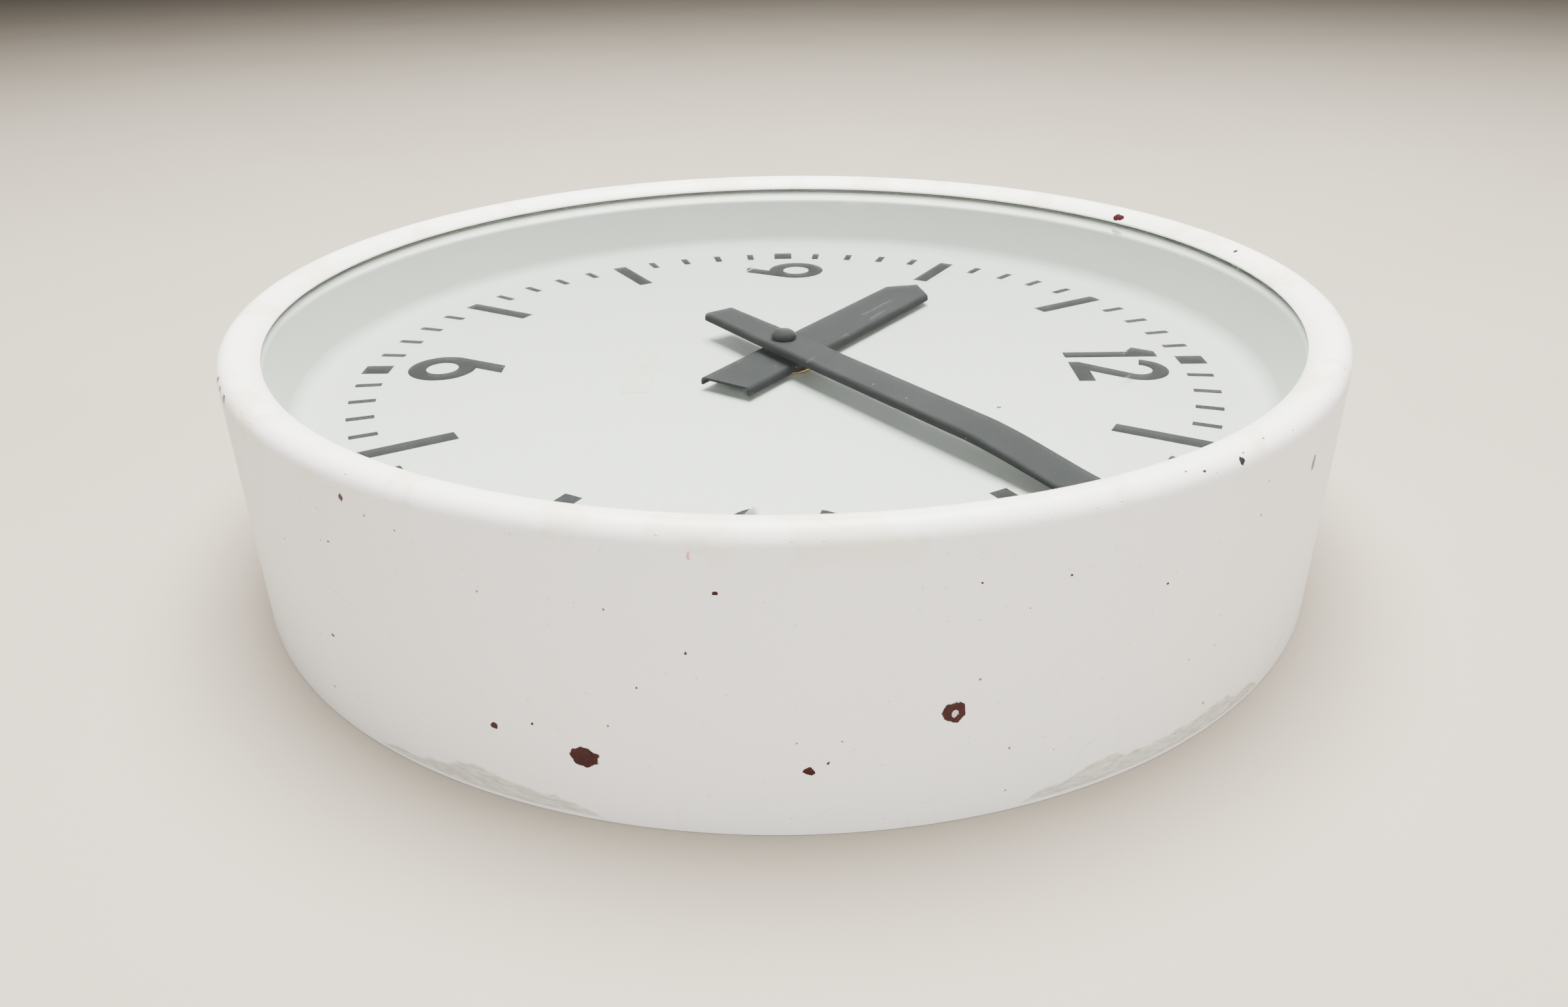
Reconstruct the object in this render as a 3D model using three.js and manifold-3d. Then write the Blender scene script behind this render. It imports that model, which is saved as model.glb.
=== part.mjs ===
// Round wall clock: a deep steel drum with a coved dial, two channel-section hands and a
// battery movement held at the dial's centre. Millimetres, +Z out of the dial, +Y towards 12,
// +X towards 3. The origin is the middle of the drum's rear edge.

import * as THREE from 'three';
import { mergeVertices } from 'three/addons/utils/BufferGeometryUtils.js';
import Module from 'manifold-3d';

const wasm = await Module();
wasm.setup();

// Overall sizes
const OUTER_RADIUS = 200;
const CASE_DEPTH = 92;
const GAP = 0.3;
const ROUND_STEPS = 64;
const SMALL_STEPS = 20;
const ARC_STEPS = 4;

// Drum
const CASE_SHEET = 1.3;
const RIM_OUTER_FILLET = 5.5;
const RIM_INNER_FILLET = 5.1;
const RIM_WIDTH = 14.4;
const HEM_WIDTH = 3;
const HEM_HEIGHT = 4;

// Glass and its gasket
const GASKET_THICKNESS = 0.45;
const GASKET_WIDTH = 4.2;
const GLASS_THICKNESS = 2;
const GLASS_UNDER_RIM = 4.1;

// Dial pan
const DIAL_DEPTH = 35;
const PAN_SHEET = 1;
const PAN_WALL_UNDER_RIM = 2.4;
const PAN_FLOOR_INSET = 24;
const PAN_COVE = 7;

// Brackets between the drum and the two plates it holds
const BRACKET_COUNT = 4;
const BRACKET_SHEET = 1.5;
const BRACKET_WIDTH = 18;
const FRONT_TAB_LENGTH = 8.3;
const REAR_TAB_LENGTH = 13.8;
const BRACKET_ANGLE = 45;

// Screws
const SCREW_RADIUS = 1.5;
const SCREW_HEAD_RADIUS = 2.8;
const SCREW_HEAD_HEIGHT = 2.1;
const SLOT_WIDTH = 0.9;
const SLOT_DEPTH = 0.8;
const DIAL_SCREW_LENGTH = 6;
const COVER_SCREW_LENGTH = 8;
const NUT_HEIGHT = 2.4;
const NUT_RADIUS = 3.1;

// Rear cover and hanger
const COVER_SHEET = 1.5;
const COVER_RECESS = 6;
const SERVICE_RADIUS = 55;
const HANGER_INSET = 46;
const HANGER_WIDTH = 60;
const HANGER_HEIGHT = 44;
const HANGER_SHEET = 2;
const KEYHOLE_HEAD_RADIUS = 5.5;
const KEYHOLE_SLOT_RADIUS = 2.6;
const KEYHOLE_DROP = 11;
const KEYHOLE_RELIEF = 3;
const RIVET_SPREAD = 23;
const RIVET_RADIUS = 2;
const RIVET_HEAD_RADIUS = 3.4;
const RIVET_HEAD_HEIGHT = 1.2;
const RIVET_FLUSH = 0.1;

// Movement case
const MOVEMENT_WALL = 1.5;
const WHEEL_ROOM = 2.1;
const BOARD_ROOM = 2.3;
const MOVEMENT_SCREW_INSET = 5;
const POST_INSET = 3;
const POST_RADIUS = 2.6;
const MOVEMENT_SCREW_RADIUS = 1;
const MOVEMENT_SCREW_HEAD = 1.8;
const PIVOT_PLAY = 0.3;

// Centre fixing
const RUBBER_THICKNESS = 1;
const WASHER_RADIUS = 12;
const BRASS_WASHER_THICKNESS = 0.8;
const BUSHING_RADIUS = 4;
const BUSHING_BORE = 3.2;
const BUSHING_FLANGE_RADIUS = 6.2;
const BUSHING_FLANGE_HEIGHT = 0.7;
const BUSHING_ABOVE_DIAL = 3.5;
const HEX_NUT_RADIUS = 6.9;
const HEX_NUT_HEIGHT = 2;

// Hands
const HAND_SHEET = 1;
const HAND_FOLD_DEPTH = 3;
const HOUR_HAND_HEIGHT = 5.3;
const HOUR_HAND_WIDTH = 22.4;
const HOUR_HAND_TAIL = 38.5;
const HOUR_TIP_BEHIND_MINUTE_TIP = 53;
const HOUR_POINT = 10;
const HOUR_ANGLE = 304.5;
const MINUTE_HAND_HEIGHT = 11;
const MINUTE_HAND_WIDTH = 16;
const MINUTE_TAIL_WIDTH = 14.4;
const MINUTE_HAND_TAIL = 45.5;
const MINUTE_TIP_GAP = 15;
const MINUTE_POINT = 7.5;
const MINUTE_BEND_LENGTH = 58;
const MINUTE_BEND_DROP = 5;
const MINUTE_TIP_FOLD = 0.5;
const MINUTE_ANGLE = 54;
const PIPE_RADIUS = 2.9;
const MINUTE_COLLET_RADIUS = 4;
const ARBOR_RADIUS = 1.9;
const CAP_RADIUS = 4.8;
const CAP_HEIGHT = 3.4;
const CAP_ROOF = 1;

// Gear train: module and teeth of each mesh
const WHEEL_THICKNESS = 1.4;
const LEVEL_STEP = 2.6;
const MOTION_CLEARANCE = 0.92;
const HOUR_TEETH = 32;
const MOTION_PINION_TEETH = 8;
const MOTION_TEETH = 30;
const CANNON_TEETH = 10;
const CENTRE_MODULE = 0.6;
const CENTRE_TEETH = 48;
const THIRD_PINION_TEETH = 6;
const THIRD_TEETH = 45;
const SECOND_PINION_TEETH = 6;
const TRAIN_MODULE = 0.45;
const SECOND_TEETH = 36;
const INTERMEDIATE_PINION_TEETH = 6;
const INTERMEDIATE_TEETH = 30;
const ROTOR_TEETH = 6;
const MOTION_DIRECTION = 45;
const THIRD_DIRECTION = 135;
const INTERMEDIATE_DIRECTION = -18;
const ROTOR_DIRECTION = 42;
const FINE_ARBOR_RADIUS = 0.6;
const ROTOR_RADIUS = 3.2;
const ROTOR_HEIGHT = 3;
const KNOB_RADIUS = 5;
const KNOB_HEIGHT = 4.5;
const KNOB_REACH = 1;

// Motor and electrics
const STATOR_SHEET = 0.6;
const STATOR_PLAY = 0.6;
const COIL_RADIUS = 4.4;
const COIL_LENGTH = 21;
const COIL_CLEARANCE = 3;
const CORE_WIDTH = 3;
const BOARD_THICKNESS = 1;
const BOARD_LENGTH = 28;
const BOARD_WIDTH = 9.6;
const BATTERY_RADIUS = 7.1;
const BATTERY_LENGTH = 49;
const BATTERY_NUB = 1.3;
const BATTERY_NUB_RADIUS = 2.7;
const BATTERY_PLAY = 0.9;
const CONTACT_ROOM = 2.7;
const CONTACT_SHEET = 0.4;

// Label on the dial
const LABEL_LENGTH = 42;
const LABEL_WIDTH = 10;
const LABEL_OFFSET = 56;
const LABEL_SHIFT = 7;
const LABEL_SHEET = 0.25;

// A wheel has stubby pointed teeth and a pinion has slim leaves, as clock gears do. The shares
// are half thicknesses as parts of the tooth pitch, and heights are in modules.
const wheelTooth = { rise: 0.8, dip: 1.15, root: 0.25, tip: 0.07 };
const pinionTooth = { rise: 0.65, dip: 1.2, root: 0.15, tip: 0.05 };

function polar(radius, degrees) {
  const a = THREE.MathUtils.degToRad(degrees);
  return [radius * Math.cos(a), radius * Math.sin(a)];
}

function tipRadius(teeth, module) {
  return module * (teeth / 2 + wheelTooth.rise);
}

// Where the wheels turn, seen from the front, with the hands' axis at the origin
const motionDistance = tipRadius(CENTRE_TEETH, CENTRE_MODULE) + FINE_ARBOR_RADIUS + MOTION_CLEARANCE;
const motionModule = 2 * motionDistance / (HOUR_TEETH + MOTION_PINION_TEETH);
const centreDistance = (CENTRE_TEETH + THIRD_PINION_TEETH) * CENTRE_MODULE / 2;
const thirdModule = 2 * centreDistance / (THIRD_TEETH + SECOND_PINION_TEETH);
const intermediateDistance = (SECOND_TEETH + INTERMEDIATE_PINION_TEETH) * TRAIN_MODULE / 2;
const rotorDistance = (INTERMEDIATE_TEETH + ROTOR_TEETH) * TRAIN_MODULE / 2;
const motionPlace = polar(motionDistance, MOTION_DIRECTION);
const thirdPlace = polar(centreDistance, THIRD_DIRECTION);
const intermediatePlace = polar(intermediateDistance, INTERMEDIATE_DIRECTION);
const rotorStep = polar(rotorDistance, ROTOR_DIRECTION);
const rotorPlace = [intermediatePlace[0] + rotorStep[0], intermediatePlace[1] + rotorStep[1]];


// Places that follow from the sizes
const lipRadius = OUTER_RADIUS - RIM_WIDTH;
const lipZ = CASE_DEPTH - RIM_INNER_FILLET;
const innerRadius = OUTER_RADIUS - CASE_SHEET;
const facetLoss = innerRadius * (1 - Math.cos(Math.PI / ROUND_STEPS));
const gasketTop = lipZ - GAP;
const gasketBottom = gasketTop - GASKET_THICKNESS;
const glassTop = gasketBottom - GAP;
const glassBottom = glassTop - GLASS_THICKNESS;
const glassRadius = lipRadius + GLASS_UNDER_RIM;
const flangeTop = glassBottom - GAP;
const flangeBottom = flangeTop - PAN_SHEET;
const dialZ = CASE_DEPTH - DIAL_DEPTH;
const dialBackZ = dialZ - PAN_SHEET;
const panWallRadius = lipRadius + PAN_WALL_UNDER_RIM;
const floorRadius = OUTER_RADIUS - PAN_FLOOR_INSET;
const bracketBack = innerRadius - facetLoss - GAP - 0.3;
const bracketFace = bracketBack - BRACKET_SHEET;
const flangeRadius = bracketFace - GAP;
const frontTabTop = flangeBottom - GAP;
const coverFront = COVER_RECESS + COVER_SHEET;
const rearTabBottom = coverFront + GAP;
const coverRadius = OUTER_RADIUS - HEM_WIDTH - facetLoss - GAP;
const dialScrewRadius = bracketFace - GAP - SCREW_HEAD_RADIUS;
const coverScrewRadius = bracketBack - REAR_TAB_LENGTH / 2;
const bushingZ = dialBackZ - GAP - RUBBER_THICKNESS;
const movementFront = bushingZ - GAP;
const wheelFront = movementFront - MOVEMENT_WALL - GAP;
const wheelStack = 5 * LEVEL_STEP + WHEEL_THICKNESS;
const coverInner = wheelFront - Math.max(wheelStack + BOARD_ROOM, 2 * BATTERY_RADIUS + 1);
const movementBack = coverInner - MOVEMENT_WALL;
const thirdTip = tipRadius(THIRD_TEETH, thirdModule);
const motionTip = tipRadius(MOTION_TEETH, motionModule);
const batteryReach = BATTERY_LENGTH / 2 + BATTERY_NUB + CONTACT_ROOM;
const wheelReach = WHEEL_ROOM + Math.max(thirdTip - thirdPlace[0], motionPlace[0] + motionTip);
const roomHalf = Math.max(batteryReach, wheelReach);
const half = roomHalf + MOVEMENT_WALL;
const gearRoomLow = -WHEEL_ROOM - tipRadius(CENTRE_TEETH, CENTRE_MODULE);
const gearRoomHigh = WHEEL_ROOM + Math.max(thirdPlace[1] + thirdTip, motionPlace[1] + motionTip);
const bayInner = gearRoomLow - MOVEMENT_WALL;
const bayOuter = bayInner - 2 * (BATTERY_RADIUS + BATTERY_PLAY);
const movementTopY = gearRoomHigh + MOVEMENT_WALL;
const coilX = roomHalf - COIL_LENGTH / 2 - COIL_CLEARANCE;
const coilY = gearRoomHigh - COIL_RADIUS - COIL_CLEARANCE;
const minuteTip = floorRadius - MINUTE_TIP_GAP;
const hourTip = minuteTip - HOUR_TIP_BEHIND_MINUTE_TIP;
const hourTop = dialZ + HOUR_HAND_HEIGHT;
const minuteTop = dialZ + MINUTE_HAND_HEIGHT;

const finishes = {
  paint: { color: 0xe9e9e3, roughness: 0.35, metalness: 0 },
  dial: { color: 0xe4e6de, roughness: 0.45, metalness: 0 },
  glass: { color: 0xdfe9e6, roughness: 0.03, metalness: 0, transparent: true, opacity: 0.25 },
  rubber: { color: 0x1c1c1c, roughness: 0.8, metalness: 0 },
  steel: { color: 0xa9abac, roughness: 0.4, metalness: 1 },
  brass: { color: 0xb79a55, roughness: 0.35, metalness: 1 },
  hand: { color: 0x4a4d4d, roughness: 0.5, metalness: 0 },
  plastic: { color: 0x2a2b2d, roughness: 0.55, metalness: 0 },
  gear: { color: 0xe8e4d8, roughness: 0.5, metalness: 0 },
  board: { color: 0x2f6b3c, roughness: 0.6, metalness: 0 },
  copper: { color: 0xb06a3a, roughness: 0.35, metalness: 1 },
  magnet: { color: 0x3b3b40, roughness: 0.4, metalness: 1 },
  battery: { color: 0x5b6f86, roughness: 0.35, metalness: 0.6 },
  label: { color: 0xe6e2c8, roughness: 0.4, metalness: 0 },
};

const group = new THREE.Group();
group.name = 'wall_clock';

// ---- geometry helpers ----

function signedVolume(position, index) {
  const a = new THREE.Vector3();
  const b = new THREE.Vector3();
  const c = new THREE.Vector3();
  let sum = 0;
  for (let i = 0; i < index.length; i += 3) {
    a.fromBufferAttribute(position, index[i]);
    b.fromBufferAttribute(position, index[i + 1]);
    c.fromBufferAttribute(position, index[i + 2]);
    sum += a.dot(b.cross(c));
  }
  return sum;
}

// Weld a geometry's seams, drop triangles that collapsed on the axis, and face it outward.
function closed(geometry) {
  const plain = geometry.clone();
  plain.deleteAttribute('normal');
  plain.deleteAttribute('uv');
  const welded = mergeVertices(plain, 1e-4);
  const old = welded.index.array;
  const kept = [];
  for (let i = 0; i < old.length; i += 3) {
    const [a, b, c] = [old[i], old[i + 1], old[i + 2]];
    if (a !== b && b !== c && c !== a) kept.push(a, b, c);
  }
  if (signedVolume(welded.attributes.position, kept) < 0) kept.reverse();
  welded.setIndex(kept);
  return welded;
}

function solid(geometry) {
  const shape = closed(geometry);
  return new wasm.Manifold(new wasm.Mesh({
    numProp: 3,
    vertProperties: new Float32Array(shape.attributes.position.array),
    triVerts: new Uint32Array(shape.index.array),
  }));
}

function geometryOf(body) {
  const mesh = body.getMesh();
  const geometry = new THREE.BufferGeometry();
  const points = new Float32Array(mesh.numVert * 3);
  for (let i = 0; i < mesh.numVert; i += 1) {
    for (let k = 0; k < 3; k += 1) points[3 * i + k] = mesh.vertProperties[mesh.numProp * i + k];
  }
  geometry.setAttribute('position', new THREE.BufferAttribute(points, 3));
  geometry.setIndex(Array.from(mesh.triVerts));
  return geometry;
}

function cut(first, ...tools) {
  return tools.reduce((body, tool) => body.subtract(solid(tool)), solid(first));
}

// Turn a profile of [radius, z] points about +Z.
function turned(profile, steps = SMALL_STEPS) {
  const points = profile.map(([r, z]) => new THREE.Vector2(r, z));
  return new THREE.LatheGeometry(points, steps).rotateX(Math.PI / 2);
}

// A ring or, with an inner radius of 0, a disc.
function ring(inner, outer, low, high, steps = SMALL_STEPS) {
  if (inner === 0) return turned([[0, low], [outer, low], [outer, high], [0, high]], steps);
  return turned([[inner, low], [outer, low], [outer, high], [inner, high], [inner, low]], steps);
}

function arc(cx, cz, radius, from, to, steps = ARC_STEPS) {
  const points = [];
  for (let i = 0; i <= steps; i += 1) {
    const a = THREE.MathUtils.degToRad(from + (to - from) * i / steps);
    points.push([cx + radius * Math.cos(a), cz + radius * Math.sin(a)]);
  }
  return points;
}

function block(x0, x1, y0, y1, z0, z1) {
  const box = new THREE.BoxGeometry(x1 - x0, y1 - y0, z1 - z0);
  return box.translate((x0 + x1) / 2, (y0 + y1) / 2, (z0 + z1) / 2);
}

function plate(shape, low, high, curveSegments = 6) {
  const options = { depth: high - low, bevelEnabled: false, curveSegments };
  return new THREE.ExtrudeGeometry(shape, options).translate(0, 0, low);
}

function polygon(points) {
  return new THREE.Shape(points.map(([x, y]) => new THREE.Vector2(x, y)));
}

function at(geometry, [x, y]) {
  return geometry.translate(x, y, 0);
}

function add(name, shape, finish) {
  const geometry = shape.isBufferGeometry ? closed(shape) : geometryOf(shape);
  const mesh = new THREE.Mesh(geometry, new THREE.MeshStandardMaterial(finishes[finish]));
  mesh.name = name;
  group.add(mesh);
  return mesh;
}

// ---- drum, glass and dial ----

function addCase() {
  const outerC = OUTER_RADIUS - RIM_OUTER_FILLET;
  const outerZ = CASE_DEPTH - RIM_OUTER_FILLET;
  const innerC = lipRadius + RIM_INNER_FILLET;
  const hemRadius = OUTER_RADIUS - HEM_WIDTH;
  add('case_shell', turned([
    [OUTER_RADIUS, 0],
    ...arc(outerC, outerZ, RIM_OUTER_FILLET, 0, 90),
    ...arc(innerC, lipZ, RIM_INNER_FILLET, 90, 180),
    ...arc(innerC, lipZ, RIM_INNER_FILLET - CASE_SHEET, 180, 90),
    ...arc(outerC, outerZ, RIM_OUTER_FILLET - CASE_SHEET, 90, 0),
    [innerRadius, HEM_HEIGHT],
    [hemRadius, HEM_HEIGHT - 0.6],
    [hemRadius, 0],
    [OUTER_RADIUS, 0],
  ], ROUND_STEPS), 'paint');
  const gasketInner = lipRadius + 0.4;
  const gasket = ring(gasketInner, gasketInner + GASKET_WIDTH, gasketBottom, gasketTop, ROUND_STEPS);
  add('glass_gasket', gasket, 'rubber');
  add('glass_pane', ring(0, glassRadius, glassBottom, glassTop, ROUND_STEPS), 'glass');
}

function addDialPan() {
  const hole = BUSHING_RADIUS + GAP;
  const coveZ = dialZ + PAN_COVE;
  const wallFoot = floorRadius + PAN_COVE;
  const thin = PAN_COVE + PAN_SHEET;
  const profile = turned([
    [hole, dialZ],
    ...arc(floorRadius, coveZ, PAN_COVE, -90, -18, 4),
    [panWallRadius, flangeTop],
    [flangeRadius, flangeTop],
    [flangeRadius, flangeBottom],
    [panWallRadius + PAN_SHEET, flangeBottom],
    [wallFoot + PAN_SHEET, coveZ - 2],
    ...arc(floorRadius, coveZ, thin, -18, -90, 4),
    [hole, dialBackZ],
    [hole, dialZ],
  ], ROUND_STEPS);
  const holes = bracketAngles().map((degrees) => at(
    ring(0, SCREW_RADIUS + GAP, flangeBottom - 1, flangeTop + 1, 12), polar(dialScrewRadius, degrees)));
  add('dial_pan', cut(profile, ...holes), 'dial');
  add('blank_label', block(LABEL_SHIFT - LABEL_LENGTH / 2, LABEL_SHIFT + LABEL_LENGTH / 2,
    -LABEL_OFFSET - LABEL_WIDTH / 2, -LABEL_OFFSET + LABEL_WIDTH / 2,
    dialZ + GAP, dialZ + GAP + LABEL_SHEET), 'label');
}

// ---- brackets and their screws ----

function bracketAngles() {
  const angles = [];
  for (let i = 0; i < BRACKET_COUNT; i += 1) angles.push(BRACKET_ANGLE + 360 * i / BRACKET_COUNT);
  return angles;
}

// A slotted screw along +Z with its head below z = 0 and its shank above.
function screw(radius, headRadius, headHeight, length, slot = SLOT_WIDTH) {
  const body = turned([[0, -headHeight], [headRadius * 0.75, -headHeight], [headRadius, -headHeight * 0.5],
    [headRadius, 0], [radius, 0], [radius, length], [0, length]], 12);
  return cut(body, block(-headRadius - 1, headRadius + 1, -slot / 2, slot / 2,
    -headHeight - 1, -headHeight + SLOT_DEPTH));
}

function hexagon(radius, bore, low, high) {
  const shape = new THREE.Shape();
  for (let i = 0; i < 6; i += 1) {
    const [x, y] = polar(radius, 60 * i);
    if (i === 0) shape.moveTo(x, y);
    else shape.lineTo(x, y);
  }
  shape.closePath();
  const hole = new THREE.Path();
  hole.absarc(0, 0, bore, 0, 2 * Math.PI, true);
  shape.holes.push(hole);
  return plate(shape, low, high, 9);
}

function bracketSolid() {
  const side = polygon([
    [bracketBack, rearTabBottom],
    [bracketBack, frontTabTop],
    [bracketBack - FRONT_TAB_LENGTH, frontTabTop],
    [bracketBack - FRONT_TAB_LENGTH, frontTabTop - BRACKET_SHEET],
    [bracketFace, frontTabTop - BRACKET_SHEET],
    [bracketFace, rearTabBottom + BRACKET_SHEET],
    [bracketBack - REAR_TAB_LENGTH, rearTabBottom + BRACKET_SHEET],
    [bracketBack - REAR_TAB_LENGTH, rearTabBottom],
  ]);
  const strip = plate(side, 0, BRACKET_WIDTH).rotateX(Math.PI / 2).translate(0, BRACKET_WIDTH / 2, 0);
  const bore = SCREW_RADIUS + GAP;
  const front = ring(0, bore, frontTabTop - 4, frontTabTop + 1, 12).translate(dialScrewRadius, 0, 0);
  const rear = ring(0, bore, rearTabBottom - 1, rearTabBottom + 4, 12).translate(coverScrewRadius, 0, 0);
  return geometryOf(cut(strip, front, rear));
}

function addBrackets() {
  const bracket = bracketSolid();
  const size = [SCREW_RADIUS, SCREW_HEAD_RADIUS, SCREW_HEAD_HEIGHT];
  const dialScrew = geometryOf(screw(...size, DIAL_SCREW_LENGTH));
  const coverScrew = geometryOf(screw(...size, COVER_SCREW_LENGTH));
  const nut = hexagon(NUT_RADIUS, SCREW_RADIUS + GAP, flangeTop + GAP, flangeTop + GAP + NUT_HEIGHT);
  bracketAngles().forEach((degrees, i) => {
    const turn = THREE.MathUtils.degToRad(degrees);
    const [dx, dy] = polar(dialScrewRadius, degrees);
    const [cx, cy] = polar(coverScrewRadius, degrees);
    add(`inner_bracket_${i + 1}`, bracket.clone(), 'steel').rotation.z = turn;
    const low = frontTabTop - BRACKET_SHEET - GAP;
    add(`dial_screw_${i + 1}`, dialScrew.clone(), 'steel').position.set(dx, dy, low);
    const fastener = add(`dial_nut_${i + 1}`, nut.clone(), 'steel');
    fastener.position.set(dx, dy, 0);
    fastener.rotation.z = turn;
    add(`cover_screw_${i + 1}`, coverScrew.clone(), 'steel').position.set(cx, cy, COVER_RECESS - GAP);
  });
}

// ---- rear cover and hanger ----

// A keyhole with its round head at the origin and its slot towards +Y.
function keyhole(extra, low, high) {
  const wide = KEYHOLE_HEAD_RADIUS + extra;
  const narrow = KEYHOLE_SLOT_RADIUS + extra;
  const lean = Math.asin(narrow / wide);
  const shape = new THREE.Shape();
  shape.absarc(0, 0, wide, Math.PI / 2 + lean, Math.PI * 2.5 - lean, false);
  shape.absarc(0, KEYHOLE_DROP, narrow, 0, Math.PI, false);
  return plate(shape, low, high, 10);
}

function addRearCover() {
  const hangerY = coverRadius - HANGER_INSET;
  const headY = hangerY - KEYHOLE_DROP / 2;
  const low = COVER_RECESS;
  const bore = SCREW_RADIUS + GAP;
  const disc = ring(SERVICE_RADIUS, coverRadius, low, coverFront, ROUND_STEPS);
  const holes = bracketAngles().map((degrees) => at(
    ring(0, bore, low - 1, coverFront + 1, 12), polar(coverScrewRadius, degrees)));
  holes.push(keyhole(KEYHOLE_RELIEF, low - 1, coverFront + 1).translate(0, headY, 0));
  for (const side of [-1, 1]) {
    holes.push(ring(0, RIVET_RADIUS + GAP, low - 1, coverFront + 1, 12)
      .translate(side * RIVET_SPREAD, hangerY, 0));
  }
  add('rear_cover', cut(disc, ...holes), 'paint');

  const top = low - GAP;
  const bottom = top - HANGER_SHEET;
  const strap = block(-HANGER_WIDTH / 2, HANGER_WIDTH / 2, hangerY - HANGER_HEIGHT / 2,
    hangerY + HANGER_HEIGHT / 2, bottom, top);
  const strapHoles = [keyhole(0, bottom - 1, top + 1).translate(0, headY, 0)];
  for (const side of [-1, 1]) {
    strapHoles.push(ring(0, RIVET_RADIUS + GAP, bottom - 1, top + 1, 12)
      .translate(side * RIVET_SPREAD, hangerY, 0));
  }
  add('hanger_plate', cut(strap, ...strapHoles), 'steel');

  const frontHead = coverFront + GAP;
  [-1, 1].forEach((side, i) => {
    add(`hanger_rivet_${i + 1}`, turned([
      [0, bottom + RIVET_FLUSH],
      [RIVET_RADIUS, bottom + RIVET_FLUSH],
      [RIVET_RADIUS, frontHead],
      [RIVET_HEAD_RADIUS, frontHead],
      [RIVET_HEAD_RADIUS * 0.7, frontHead + RIVET_HEAD_HEIGHT * 0.8],
      [0, frontHead + RIVET_HEAD_HEIGHT],
    ], 12).translate(side * RIVET_SPREAD, hangerY, 0), 'steel');
  });
}

// ---- movement case and centre fixing ----

function screwPlaces() {
  const inset = half - MOVEMENT_SCREW_INSET;
  return [[inset, gearRoomLow + POST_INSET], [-inset, gearRoomHigh - POST_INSET]];
}

function pivots() {
  return [[0, 0], thirdPlace, intermediatePlace, rotorPlace];
}

function addMovementCase() {
  const inner = roomHalf;
  const body = block(-half, half, bayOuter - MOVEMENT_WALL, movementTopY, movementBack, movementFront);
  const floor = movementFront - MOVEMENT_WALL;
  const below = movementBack - 1;
  const gearRoom = block(-inner, inner, gearRoomLow, gearRoomHigh, below, floor);
  const bay = block(-inner, inner, bayOuter, bayInner, below, floor);
  const bore = ring(0, BUSHING_RADIUS + GAP, floor - 1, movementFront + 1);
  let tray = cut(body, gearRoom, bay, bore);
  for (const [x, y] of screwPlaces()) {
    const post = cut(ring(0, POST_RADIUS, coverInner + GAP, floor + 0.5, 12),
      ring(0, MOVEMENT_SCREW_RADIUS + GAP, coverInner - 1, coverInner + 8, 12));
    tray = tray.add(solid(at(geometryOf(post), [x, y])));
  }
  add('movement_case', tray, 'plastic');

  const lid = block(-inner + GAP, inner - GAP, gearRoomLow + GAP, gearRoomHigh - GAP,
    movementBack, coverInner);
  const holes = pivots().map((place) => at(
    ring(0, FINE_ARBOR_RADIUS + PIVOT_PLAY, movementBack - 1, coverInner + 1, 12), place));
  holes.push(at(ring(0, FINE_ARBOR_RADIUS + PIVOT_PLAY, movementBack - 1, coverInner + 1, 12), motionPlace));
  for (const place of screwPlaces()) {
    holes.push(at(ring(0, MOVEMENT_SCREW_RADIUS + GAP, movementBack - 1, coverInner + 1, 12), place));
  }
  add('movement_cover', cut(lid, ...holes), 'plastic');
  screwPlaces().forEach(([x, y], i) => {
    const body = screw(MOVEMENT_SCREW_RADIUS, MOVEMENT_SCREW_HEAD, 1.2, MOVEMENT_WALL + 6, 0.5);
    add(`movement_screw_${i + 1}`, body, 'steel').position.set(x, y, movementBack - GAP);
  });
}

function addCentreFixing() {
  const top = dialZ + BUSHING_ABOVE_DIAL;
  add('threaded_bushing', turned([
    [BUSHING_BORE, movementFront - MOVEMENT_WALL],
    [BUSHING_RADIUS, movementFront - MOVEMENT_WALL],
    [BUSHING_RADIUS, bushingZ],
    [BUSHING_FLANGE_RADIUS, bushingZ],
    [BUSHING_FLANGE_RADIUS, bushingZ + BUSHING_FLANGE_HEIGHT],
    [BUSHING_RADIUS, bushingZ + BUSHING_FLANGE_HEIGHT],
    [BUSHING_RADIUS, top],
    [BUSHING_BORE, top],
    [BUSHING_BORE, movementFront - MOVEMENT_WALL],
  ]), 'brass');
  const rubber = ring(BUSHING_FLANGE_RADIUS + GAP, WASHER_RADIUS, bushingZ, bushingZ + RUBBER_THICKNESS);
  add('rubber_washer', rubber, 'rubber');
  const washerZ = dialZ + GAP;
  const washerTop = washerZ + BRASS_WASHER_THICKNESS;
  const nutZ = washerTop + GAP;
  add('brass_washer', ring(BUSHING_RADIUS + GAP, WASHER_RADIUS, washerZ, washerTop, 32), 'brass');
  add('hex_nut', hexagon(HEX_NUT_RADIUS, BUSHING_RADIUS + GAP, nutZ, nutZ + HEX_NUT_HEIGHT), 'brass');
}

// ---- gears ----

function gear(teeth, module, tooth, bore, low, high, phase) {
  const pitch = 2 * Math.PI / teeth;
  const radius = teeth * module / 2;
  const rootRadius = radius - tooth.dip * module;
  const tipRadius = radius + tooth.rise * module;
  const points = [];
  for (let k = 0; k < teeth; k += 1) {
    for (const [r, share] of [[rootRadius, -tooth.root], [tipRadius, -tooth.tip],
      [tipRadius, tooth.tip], [rootRadius, tooth.root]]) {
      const a = phase + (k + share) * pitch;
      points.push([r * Math.cos(a), r * Math.sin(a)]);
    }
  }
  const shape = polygon(points);
  if (bore > 0) {
    const hole = new THREE.Path();
    hole.absarc(0, 0, bore, 0, 2 * Math.PI, true);
    shape.holes.push(hole);
  }
  return plate(shape, low, high, 8);
}

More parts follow.
